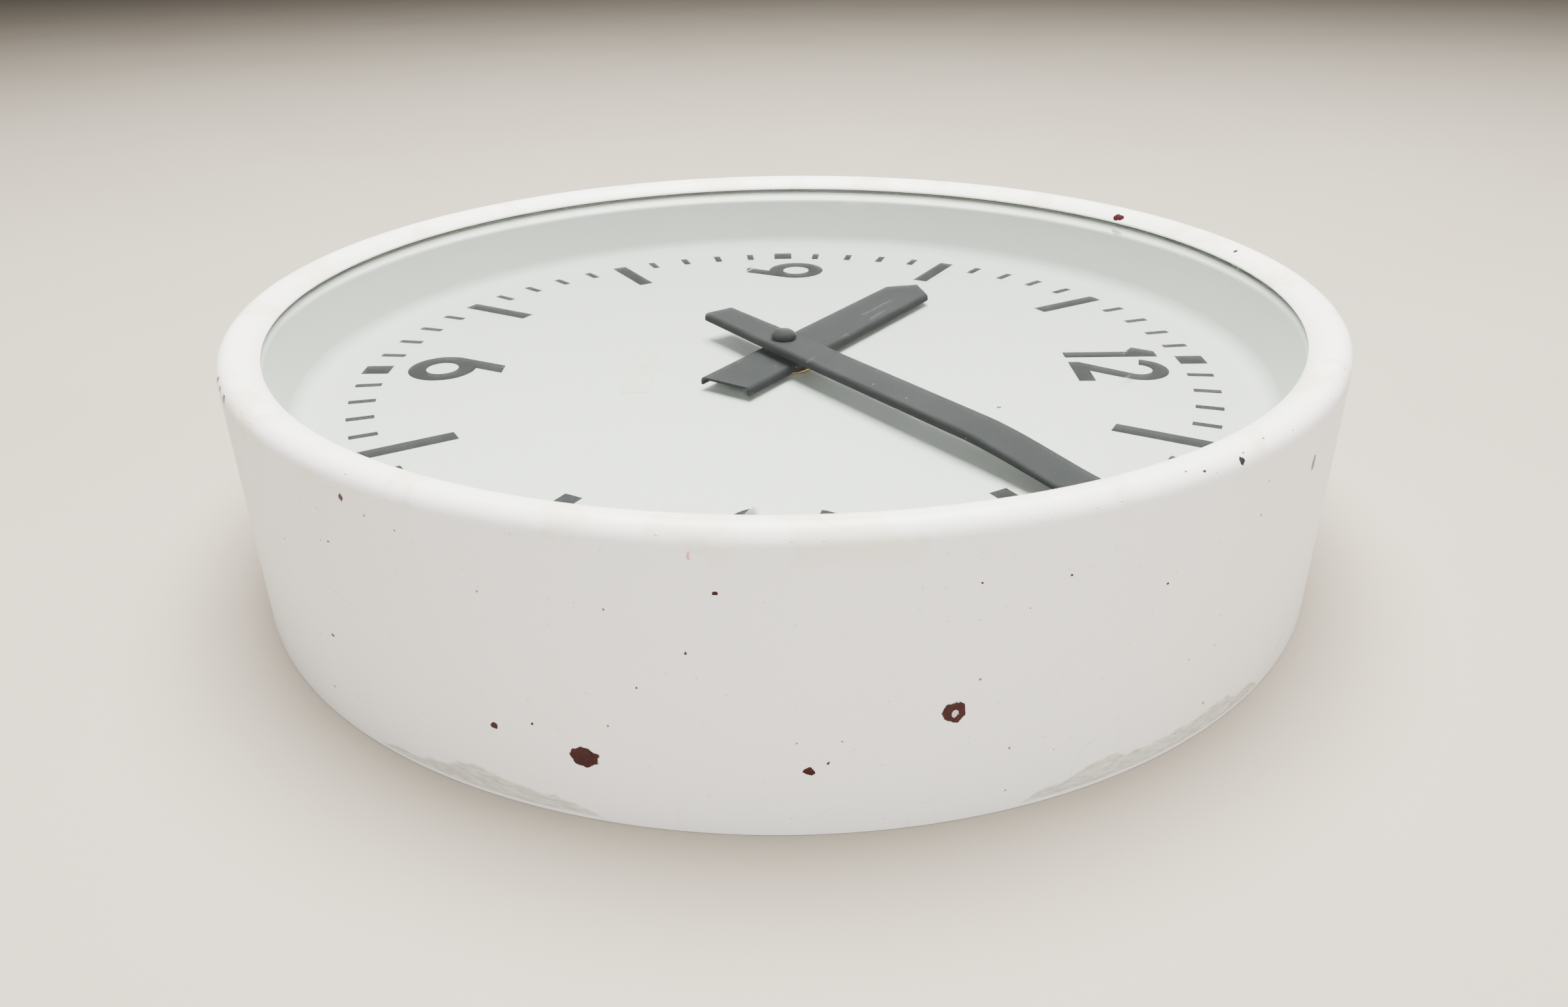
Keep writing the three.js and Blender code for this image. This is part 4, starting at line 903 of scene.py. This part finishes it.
bowl_hole = arc(0, 0, 6.2, 0, 350, 35)
numeral("numeral_one", ONE)
numeral("numeral_two", TWO)
numeral("numeral_three", three_outline(), x=134)
numeral("numeral_six", six_outline(), [bowl_hole], x=-0.7, y=-134.6)
numeral("numeral_nine", six_outline(), [bowl_hole], x=-133.6, y=6.4, turn=180)

# %% [markdown]
# ## Blank label
# A strip of clear film was stuck on the dial long ago and has yellowed. It is left blank here.

# %% Label
film, tree, shader, place = blank_finish("aged_film", IOR=1.45)
age = clouds(tree, place, 90.0, 2.0)
yellowed = blend_colours(tree, age, linear(203, 204, 188), linear(209, 209, 195))
paint(tree, shader, yellowed, age, (0.2, 0.34))
label_low, label_high = span("blank_label")
label = plate("label_film", box_outline(*label_low[:2], *label_high[:2], 0.8, 4),
              DIAL + 0.03, DIAL + 0.13)
dress(label, "clock_body", film, "label_film", "blank_label")

# %% [markdown]
# ## Hands
# Each hand is a strip of sheet with both long edges folded down, so it is light and stiff. The
# fold is a soft round, not a corner. The strip is built from cross sections, one after another
# along the hand: each section is the same folded outline, made as wide and as deep as the hand is
# there. At the point the folds end and the flat sheet runs on alone.

# %% Hand paint and hand maker
hand_paint, tree, shader, place = blank_finish("hand_lacquer", IOR=1.35,
                                               Specular_IOR_Level=0.2)
tone = clouds(tree, place, 38.0, 1.8)
coat = blend_colours(tree, tone, linear(24, 25, 25), linear(29, 30, 30))
motes = use(tree, specks, Position=place, Specks_per_metre=330.0, Largest=0.2, Share_kept=0.05)
coat = lay_over(tree, coat, linear(168, 168, 160), motes.outputs["Mask"], 0.5)
paint(tree, shader, coat, tone, (0.7, 0.8))
skin = use(tree, ripple, Position=place, Ripples_per_metre=700.0, Lumps=0.8)
emboss(tree, shader, skin.outputs[0], 0.35, 0.00012)


def folded_section(half, depth, sheet=1.0, outer=1.5, steps=5):
    """Across the hand: (sideways, height below the top), outside first and then inside."""
    outer = min(outer, depth * 0.8, half * 0.4)
    inner = max(0.15, outer - sheet * 0.9)
    sheet_side = min(sheet, half * 0.5)
    right = arc(half - outer, -outer, outer, 90, 0, steps) + [(half, -depth)]
    back = ([(half - sheet_side, -depth)]
            + arc(half - sheet_side - inner, -sheet - inner, inner, 0, 90, steps))
    outside = [(-v, w) for v, w in reversed(right)] + right
    inside = back + [(-v, w) for v, w in reversed(back)]
    return outside + inside


def folded_hand(name, stations, top, degrees):
    """Stations run from tail to tip: (distance, half width, drop, fold depth)."""
    rows = [[(u, v, top - drop + w) for v, w in folded_section(half, depth)]
            for u, half, drop, depth in stations]
    points = [p for row in rows for p in row]
    size = len(rows[0])
    faces = []
    for k in range(len(rows) - 1):
        for i in range(size):
            j = (i + 1) % size
            faces.append((k * size + i, k * size + j, (k + 1) * size + j, (k + 1) * size + i))
    half_count = size // 2
    for k in (0, len(rows) - 1):
        for i in range(half_count - 1):
            a, b = k * size + i, k * size + i + 1
            c, d = k * size + size - 2 - i, k * size + size - 1 - i
            faces.append((a, b, c, d) if k == 0 else (d, c, b, a))
    hand = mesh_object(name, points, faces, smooth=38)
    turn_and_move(hand, 90 - degrees)
    return hand


def evenly(start, end, steps):
    return [start + (end - start) * k / steps for k in range(steps + 1)]


print("hand paint and section ready,", len(folded_section(11, 3)), "points each")

# %% Hour hand
HOUR_TURN, HOUR_TAIL, HOUR_TIP, HOUR_POINT = 304.5, 38.5, 108.0, 10.0
HOUR_HALF, TIP_HALF, FOLD = 11.2, 0.6, 3.0
hour_shoulder = HOUR_TIP - HOUR_POINT
hour_rows = [(u, HOUR_HALF, 0.0, FOLD) for u in evenly(-HOUR_TAIL, hour_shoulder, 24)]
for s in (0.6, 1.5, 3.0, 5.0, 7.5, HOUR_POINT):
    half = HOUR_HALF - (HOUR_HALF - TIP_HALF) * s / HOUR_POINT
    hour_rows.append((hour_shoulder + s, half, 0.0, FOLD - 1.9 * min(1, s / 3)))
hour_hand = folded_hand("hour_hand_channel", hour_rows, span("hour_hand")[1][2], HOUR_TURN)
dress(hour_hand, "hour_set", hand_paint, "hand_paint", "hour_hand")

# %% Minute hand
MINUTE_TURN, MINUTE_TAIL, MINUTE_TIP, MINUTE_POINT = 54.0, 45.5, 161.0, 7.5
MINUTE_HALF, TAIL_HALF, BEND_LENGTH, BEND_DROP = 8.0, 7.2, 58.0, 5.0
minute_shoulder = MINUTE_TIP - MINUTE_POINT


def bend_share(u):
    """0 where the hand starts to bend towards the dial, 1 at its tip."""
    return max(0.0, (u - MINUTE_TIP + BEND_LENGTH) / BEND_LENGTH)


def minute_drop(u):
    s = bend_share(u)
    return BEND_DROP * (s * s * (3 - 2 * s) * 0.8 + s * s * 0.2)


minute_rows = []
for u in evenly(-MINUTE_TAIL, minute_shoulder, 44):
    half = MINUTE_HALF - (MINUTE_HALF - TAIL_HALF) * max(0.0, -u) / MINUTE_TAIL
    minute_rows.append((u, half, minute_drop(u), FOLD - 1.6 * bend_share(u)))
for s in (0.6, 1.5, 3.0, 4.5, 6.0, MINUTE_POINT):
    u = minute_shoulder + s
    half = MINUTE_HALF - (MINUTE_HALF - TIP_HALF) * s / MINUTE_POINT
    minute_rows.append((u, half, minute_drop(u), 1.55 - 0.4 * min(1, s / 3)))
minute_hand = folded_hand("minute_hand_channel", minute_rows, span("minute_hand")[1][2],
                          MINUTE_TURN)
dress(minute_hand, "minute_set", hand_paint, "hand_paint", "minute_hand")

# %% [markdown]
# ## Metals and plastics
# The fixings are zinc-plated steel, bright steel and brass, and the movement is moulded plastic.
# Bare metal is one shader value, Metallic, set to one. What tells one metal from another is its
# colour, how uneven its shine is, and the fine grain in its surface.

# %% Metal and plastic finishes
brass = simple_finish("dull_brass", linear(178, 146, 76), linear(208, 176, 100), (0.28, 0.46),
                      patches=170.0, bump=(1300.0, 0.2, 0.3), dust=0.04, Metallic=1.0)
zinc = simple_finish("zinc_plating", linear(150, 151, 146), linear(184, 184, 178), (0.36, 0.56),
                     patches=130.0, bump=(900.0, 0.2, 0.4), dust=0.05, Metallic=1.0)
steel = simple_finish("bright_steel_finish", linear(160, 160, 162), linear(192, 192, 190),
                      (0.24, 0.42), patches=200.0, bump=(1500.0, 0.15, 0.2), dust=0.03,
                      Metallic=1.0)
black_plastic = simple_finish("moulded_black", linear(24, 24, 26), linear(34, 34, 36),
                              (0.5, 0.68), patches=60.0, bump=(1700.0, 0.5, 0.2), dust=0.12)
gear_plastic = simple_finish("natural_acetal", linear(222, 217, 200), linear(235, 231, 217),
                             (0.38, 0.5), patches=140.0, bump=(1200.0, 0.2, 0.3))
ferrite = simple_finish("dark_ferrite", linear(40, 40, 43), linear(60, 60, 62), (0.55, 0.75),
                        patches=400.0, bump=(2400.0, 0.6, 0.2))
print("finishes", [f.name for f in (brass, zinc, steel, black_plastic, gear_plastic, ferrite)])

# %% [markdown]
# Three finishes need a pattern of their own. A coil is hundreds of turns of thin wire, so bands
# across its length make both the colour and the relief. A circuit board shows its tracks as a
# paler green under the lacquer. A cell's printed sleeve is left plain, with one bright band.

# %% Wire, board and cell sleeve
wire, tree, shader, place = blank_finish("enamelled_wire", Metallic=1.0)
turns = node(tree, "TexWave", {"Vector": place, "Scale": 620.0, "Distortion": 0.3},
             wave_type="BANDS", bands_direction="X").outputs[1]
copper = blend_colours(tree, turns, linear(120, 58, 26), linear(206, 120, 66))
paint(tree, shader, copper, turns, (0.45, 0.28))
emboss(tree, shader, turns, 0.7, 0.0002)

board, tree, shader, place = blank_finish("lacquered_board")
tracks = node(tree, "TexBrick", {"Vector": place, "Scale": 180.0, "Mortar Size": 0.06,
                                 "Brick Width": 1.3, "Row Height": 0.34}).outputs["Fac"]
green = blend_colours(tree, tracks, linear(26, 74, 40), linear(58, 120, 66))
paint(tree, shader, green, tracks, (0.3, 0.4))
emboss(tree, shader, tracks, 0.3, 0.0001)

sleeve, tree, shader, place = blank_finish("cell_sleeve", IOR=1.5)
cell_low, cell_high = span("battery")
band_start = cell_high[0] - 12.0
along_cell = node(tree, "SeparateXYZ", {0: place}).outputs[0]
band = ramp(tree, along_cell, band_start * MM, (band_start + 0.4) * MM)
mottle = clouds(tree, place, 160.0, 1.5)
jacket = blend_colours(tree, mottle, linear(66, 84, 104), linear(76, 94, 114))
jacket = lay_over(tree, jacket, linear(190, 160, 100), band)
paint(tree, shader, jacket, mottle, (0.28, 0.4))
print("finishes", wire.name, board.name, sleeve.name)

# %% [markdown]
# ## The hub
# The hands are pressed onto two pipes, one inside the other. Each pipe carries a small collar, the
# front one is closed with a domed cap painted like the hands, and at the dial a threaded bushing,
# a brass washer and a hexagon nut hold the whole movement. All of them are small lathe work.

# %% Helpers for lathe work


def ridges(radius, depth, pitch, start, end):
    """A screw thread as a lathe sees it: a row of small ridges."""
    count = max(1, round((end - start) / pitch))
    step = (end - start) / count
    points = []
    for k in range(count):
        points += [(radius - depth, start + k * step), (radius, start + (k + 0.5) * step)]
    return points + [(radius - depth, end)]


def reach(node_name):
    """A round CAD piece's outer radius, its foot and its top, for pieces on the clock's axis."""
    low, high = span(node_name)
    return high[0], low[2], high[2]


def hub_piece(name, profile, *ride_and_finish):
    dress(turned(name, profile, 48), *ride_and_finish)


def washer(name, node_name, inner, finish, slot, edge):
    outer, foot, top = reach(node_name)
    ring = turned(name, box_outline(inner, foot, outer, top, edge), 96)
    dress(ring, "clock_body", finish, slot, node_name)


print("a thread of ten ridges has", len(ridges(4, 0.2, 0.5, 0, 5)), "points")

# %% Cap and collars
rim, foot, top = reach("hand_cap")
hub_piece("domed_cap",
          [(0, top), (1.6, top - 0.1), (2.9, top - 0.42), (3.9, top - 1.0), (4.5, top - 1.7),
           (rim, top - 2.5), (rim, foot + 0.2), (rim - 0.2, foot), (rim - 1, foot),
           (rim - 1, top - 1.9), (2.6, top - 0.92), (0, top - 0.85)],
          "minute_set", hand_paint, "hand_paint", "hand_cap")

rim, foot, top = reach("minute_collet")
bore, barrel = 2.2, 4.0
ledge, ledge_top = foot + 2.2, foot + 2.9
hub_piece("minute_collar",
          rounded([(bore, foot, 0.1), (barrel, foot, 0.15), (barrel, ledge, 0.1),
                   (rim, ledge, 0.2), (rim, ledge_top, 0.2), (barrel, ledge_top, 0.1),
                   (barrel, top, 0.2), (bore, top, 0.1)], 2),
          "minute_set", hand_paint, "hand_paint", "minute_collet")

rim, foot, top = reach("hour_collet")
bore, barrel, ledge = 3.2, 4.2, top - 0.6
hub_piece("hour_collar",
          rounded([(bore, foot, 0.1), (barrel, foot, 0.15), (barrel, ledge, 0.1),
                   (rim, ledge, 0.2), (rim, top, 0.25), (bore, top, 0.1)], 2),
          "hour_set", hand_paint, "hand_paint", "hour_collet")

# %% Bushing and washers
rim, foot, top = reach("threaded_bushing")
flange = reach("rubber_washer")[1]
bore, shank = 3.2, 4.0
hub_piece("bushing_with_thread",
          [(bore, foot + 0.1), (bore + 0.15, foot), (shank - 0.1, foot), (shank, foot + 0.1),
           (shank, flange), (rim - 0.15, flange), (rim, flange + 0.15), (rim, flange + 0.55),
           (rim - 0.15, flange + 0.7)]
          + ridges(shank, 0.22, 0.5, flange + 0.75, top - 0.2)
          + [(3.6, top), (bore + 0.15, top), (bore, top - 0.15)],
          "clock_body", brass, "brass", "threaded_bushing")
washer("rubber_ring_washer", "rubber_washer", 6.5, rubber, "rubber", 0.35)
washer("brass_ring_washer", "brass_washer", 4.3, brass, "brass", 0.3)

# %% [markdown]
# A hexagon nut is a flat outline with a bore. Its edges are eased by the bevel, as the chamfer of
# a real nut is.

# %% Hexagon nuts


def nut(name, node_name, corner_radius, bore, finish, slot, turn=0.0):
    low, high = span(node_name)
    hexagon = arc(0, 0, corner_radius, turn, turn + 300, 5)
    piece = plate(name, hexagon, low[2], high[2], [circle(bore)], bevel=0.22,
                  shift=(*middle_of(node_name), 0))
    dress(piece, "clock_body", finish, slot, node_name)


nut("fixing_nut", "hex_nut", 6.9, 4.15, brass, "brass")
for k in range(1, 5):
    nut(f"pan_nut_{k}", f"dial_nut_{k}", 3.1, 1.6, steel, "bright_steel", turn=15)

# %% [markdown]
# ## Screws
# Every screw has a slotted round head and a thread. The thread is a row of ridges, which at this
# size looks the same as a true spiral. The slot is cut with a Boolean and kept, so no cutter is
# left in the scene. Each size of screw is cut once, and its mesh is copied to every place.

# %% Slotted screws


def slotted_screw_mesh(head_r, head_h, shank_r, length, slot_width, slot_depth):
    """A screw that points up, with the face of its head at height 0."""
    dome, tip = 0.9, head_h + length
    outline = ([(0, 0)] + arc(head_r - dome, dome, dome, -90, 0, 5)
               + [(head_r, head_h - 0.15), (head_r - 0.15, head_h), (shank_r, head_h)]
               + ridges(shank_r, shank_r * 0.16, 0.5, head_h + 0.4, tip - 0.6)
               + [(shank_r * 0.7, tip), (0, tip)])
    blank = turned("screw_blank", outline, 32)
    cutter = plate("slot_cutter", box_outline(-head_r - 1, -slot_width / 2, head_r + 1,
                                              slot_width / 2), -1, slot_depth)
    cut = blank.modifiers.new("slot", "BOOLEAN")
    cut.operation, cut.object, cut.solver = "DIFFERENCE", cutter, "EXACT"
    graph = bpy.context.evaluated_depsgraph_get()
    result = bpy.data.meshes.new_from_object(blank.evaluated_get(graph))
    result.name = "slotted_screw"
    for spare in (blank, cutter):
        bpy.data.objects.remove(spare)
    result.set_sharp_from_angle(angle=math.radians(35))
    return result


def place_screw(name, mesh, node_name, turn):
    piece = bpy.data.objects.new(name, mesh.copy())
    bpy.context.scene.collection.objects.link(piece)
    turn_and_move(piece, turn, shift=(*middle_of(node_name), span(node_name)[0][2]))
    dress(piece, "clock_body", steel, "bright_steel", node_name)


BIG_SCREW = dict(head_r=2.8, head_h=2.1, shank_r=1.5, slot_width=0.9, slot_depth=0.8)
SMALL_HEAD = 1.2
small_low, small_high = span("movement_screw_1")
pan_screw = slotted_screw_mesh(length=6.0, **BIG_SCREW)
cover_screw = slotted_screw_mesh(length=8.0, **BIG_SCREW)
small_screw = slotted_screw_mesh(head_r=1.8, head_h=SMALL_HEAD, shank_r=1.0,
                                 length=small_high[2] - small_low[2] - SMALL_HEAD,
                                 slot_width=0.5, slot_depth=0.45)
for k, turn in enumerate((20, 75, 128, 51), start=1):
    place_screw(f"pan_screw_{k}", pan_screw, f"dial_screw_{k}", turn * 1.7)
    place_screw(f"rear_screw_{k}", cover_screw, f"cover_screw_{k}", turn)
for k, turn in enumerate((33, 101), start=1):
    place_screw(f"case_screw_{k}", small_screw, f"movement_screw_{k}", turn)

# %% [markdown]
# ## Brackets
# Four strips of plated steel are bent twice, like a squared C. They join the drum, the flange of
# the dial pan and the rear cover. The strip is drawn from the side, its bends rounded, pushed out
# to its width and stood up in its place.

# %% Brackets
BRACKET_SHEET, BRACKET_WIDTH, BRACKET_INSET, FRONT_TAB, REAR_TAB = 1.5, 18.0, 2.14, 8.3, 13.8
back = RADIUS - BRACKET_INSET
front_end, rear_end, face = back - FRONT_TAB, back - REAR_TAB, back - BRACKET_SHEET
for k, degrees in enumerate((45, 135, 225, 315), start=1):
    low, high = span(f"inner_bracket_{k}")
    foot, head = low[2], high[2]
    over_foot, under_head = foot + BRACKET_SHEET, head - BRACKET_SHEET
    side_view = rounded([
        (back, foot, 1.9), (back, head, 1.9), (front_end, head, 0.3), (front_end, under_head, 0.3),
        (face, under_head, 0.5), (face, over_foot, 0.5), (rear_end, over_foot, 0.3),
        (rear_end, foot, 0.3)])
    strip = plate(f"bent_bracket_{k}", side_view, -BRACKET_WIDTH / 2, BRACKET_WIDTH / 2, bevel=0.2)
    turn_and_move(strip, 90, "X")
    turn_and_move(strip, degrees)
    dress(strip, "clock_body", zinc, "zinc_plate", f"inner_bracket_{k}")

# %% [markdown]
# ## Rear cover and hanger
# The cover is a disc of the same painted sheet, with a large service hole for the battery. A
# plated plate with a keyhole is riveted over it near the top, and the clock hangs by that keyhole.
# All the holes belong to one flat outline.

# %% Rear cover and hanger
KEY_HEAD, KEY_SLOT, KEY_DROP, KEY_RELIEF, SERVICE = 5.5, 2.6, 11.0, 3.0, 55.0
COVER_SCREW_HOLE, RIVET_HOLE = 1.8, 2.3
hang_low, hang_high = span("hanger_plate")
hang_y = middle_of("hanger_plate")[1]
key_y = hang_y - KEY_DROP / 2


def keyhole(extra):
    """A round head with a narrow round-ended slot above it."""
    wide, narrow = KEY_HEAD + extra, KEY_SLOT + extra
    lean = math.degrees(math.asin(narrow / wide))
    return (arc(0, key_y, wide, 90 + lean, 450 - lean, 28)
            + arc(0, key_y + KEY_DROP, narrow, 0, 180, 14))


rear_enamel = simple_finish("rear_enamel", linear(205, 203, 196), linear(222, 220, 213),
                            (0.38, 0.55), patches=16.0, bump=(260.0, 0.6, 1.2), dust=0.06)
screw_holes = [circle(COVER_SCREW_HOLE, *middle_of(f"cover_screw_{k}"), 20) for k in range(1, 5)]
rivet_holes = [circle(RIVET_HOLE, *middle_of(f"hanger_rivet_{k}"), 20) for k in (1, 2)]
cover_edge, cover_back, cover_front = reach("rear_cover")
cover = plate("rear_cover_sheet", circle(cover_edge, count=256), cover_back, cover_front,
              [circle(SERVICE, count=128), keyhole(KEY_RELIEF)] + screw_holes + rivet_holes,
              bevel=0.4)
dress(cover, "clock_body", rear_enamel, "case_paint", "rear_cover")
hanger = plate("keyhole_hanger", box_outline(*hang_low[:2], *hang_high[:2], 5, 6),
               hang_low[2], hang_high[2], [keyhole(0)] + rivet_holes, bevel=0.35)
dress(hanger, "clock_body", zinc, "zinc_plate", "hanger_plate")
for k in (1, 2):
    low, high = span(f"hanger_rivet_{k}")
    foot, top = low[2], high[2]
    rivet = turned(f"dome_rivet_{k}",
                   [(0, foot), (1.8, foot), (2.0, foot + 0.2), (2.0, top - 1.2),
                    (3.4, top - 1.2), (3.4, top - 1.0), (3.1, top - 0.55), (2.4, top - 0.22),
                    (1.3, top - 0.04), (0, top)],
                   32, shift=(*middle_of(f"hanger_rivet_{k}"), 0))
    dress(rivet, "clock_body", zinc, "zinc_plate", f"hanger_rivet_{k}")

# %% [markdown]
# ## Knob and cell
# The setting knob at the back has soft finger grips, so its outline is a circle whose radius
# swells and shrinks ten times around. The cell is a steel can in a shrink sleeve, with rolled ends.

# %% Knob and cell
KNOB_RADIUS, GRIP, GRIPS, KNOB_POINTS = 4.65, 0.3, 10, 120
knob_low, knob_high = span("setting_knob")
knob_outline = []
for k in range(KNOB_POINTS):
    turn = 2 * math.pi * k / KNOB_POINTS
    r = KNOB_RADIUS + GRIP * math.cos(GRIPS * turn)
    knob_outline.append((r * math.cos(turn), r * math.sin(turn)))
knob = plate("ribbed_knob", knob_outline, knob_low[2], knob_high[2], bevel=0.35,
             shift=(*middle_of("setting_knob"), 0), smooth=50)
dress(knob, "motion_set", black_plastic, "black_plastic", "setting_knob")

cell_r, end, button = (cell_high[2] - cell_low[2]) / 2, -cell_low[0], cell_high[0]
cell_place = (0, middle_of("battery")[1], (cell_low[2] + cell_high[2]) / 2)
jacket_in, jacket_end, can_r = cell_r - 1.6, end - 0.15, cell_r - 1.9
cell_jacket = turned("cell_jacket", rounded([
    (jacket_in, -jacket_end, 0.2), (cell_r, -jacket_end, 0.8), (cell_r, jacket_end, 0.8),
    (jacket_in, jacket_end, 0.2)], 5), 64)
cell_can = turned("cell_can", [
    (0, -end), (can_r - 0.3, -end), (can_r, -end + 0.25), (can_r, end - 0.4),
    (can_r - 0.7, end - 0.25), (2.9, end - 0.2), (2.6, end), (2.6, button - 0.3), (2.3, button),
    (0, button)], 48)
for piece, finish, slot in ((cell_jacket, sleeve, "battery_jacket"),
                            (cell_can, steel, "bright_steel")):
    turn_and_move(piece, 90, "Y", cell_place)
    dress(piece, "battery_cell", finish, slot, "battery")

# %% [markdown]
# ## What stays as the CAD made it
# The movement's box, its lid, the contacts, the wheels and the motor already have their true
# shapes. They keep them, and each takes one of the finishes above in its material slots. The
# moulded and folded ones also get softened edges from modifiers, which leave the mesh itself alone.

# %% Finishes for the CAD pieces
KEPT_SHAPES = (
    (black_plastic, 0.25, ["movement_case"]),
    (black_plastic, 0.2, ["movement_cover"]),
    (zinc, 0.12, ["negative_contact", "positive_contact"]),
    (gear_plastic, 0.0, ["hour_wheel", "motion_wheel", "centre_wheel", "third_wheel",
                         "second_wheel", "intermediate_wheel"]),
    (steel, 0.0, ["minute_arbor", "stator", "coil_core", "quartz_crystal"]),
    (ferrite, 0.0, ["rotor"]),
    (wire, 0.0, ["coil"]),
    (board, 0.0, ["circuit_board"]))
for finish, edge, names in KEPT_SHAPES:
    for name in names:
        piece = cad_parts[name]
        for one_slot in piece.material_slots:
            one_slot.material = finish
        if edge:
            weld = piece.modifiers.new("join split corners", "WELD")
            weld.merge_threshold = 1e-6
            soften(piece, edge)
    print(finish.name, "on", ", ".join(names))
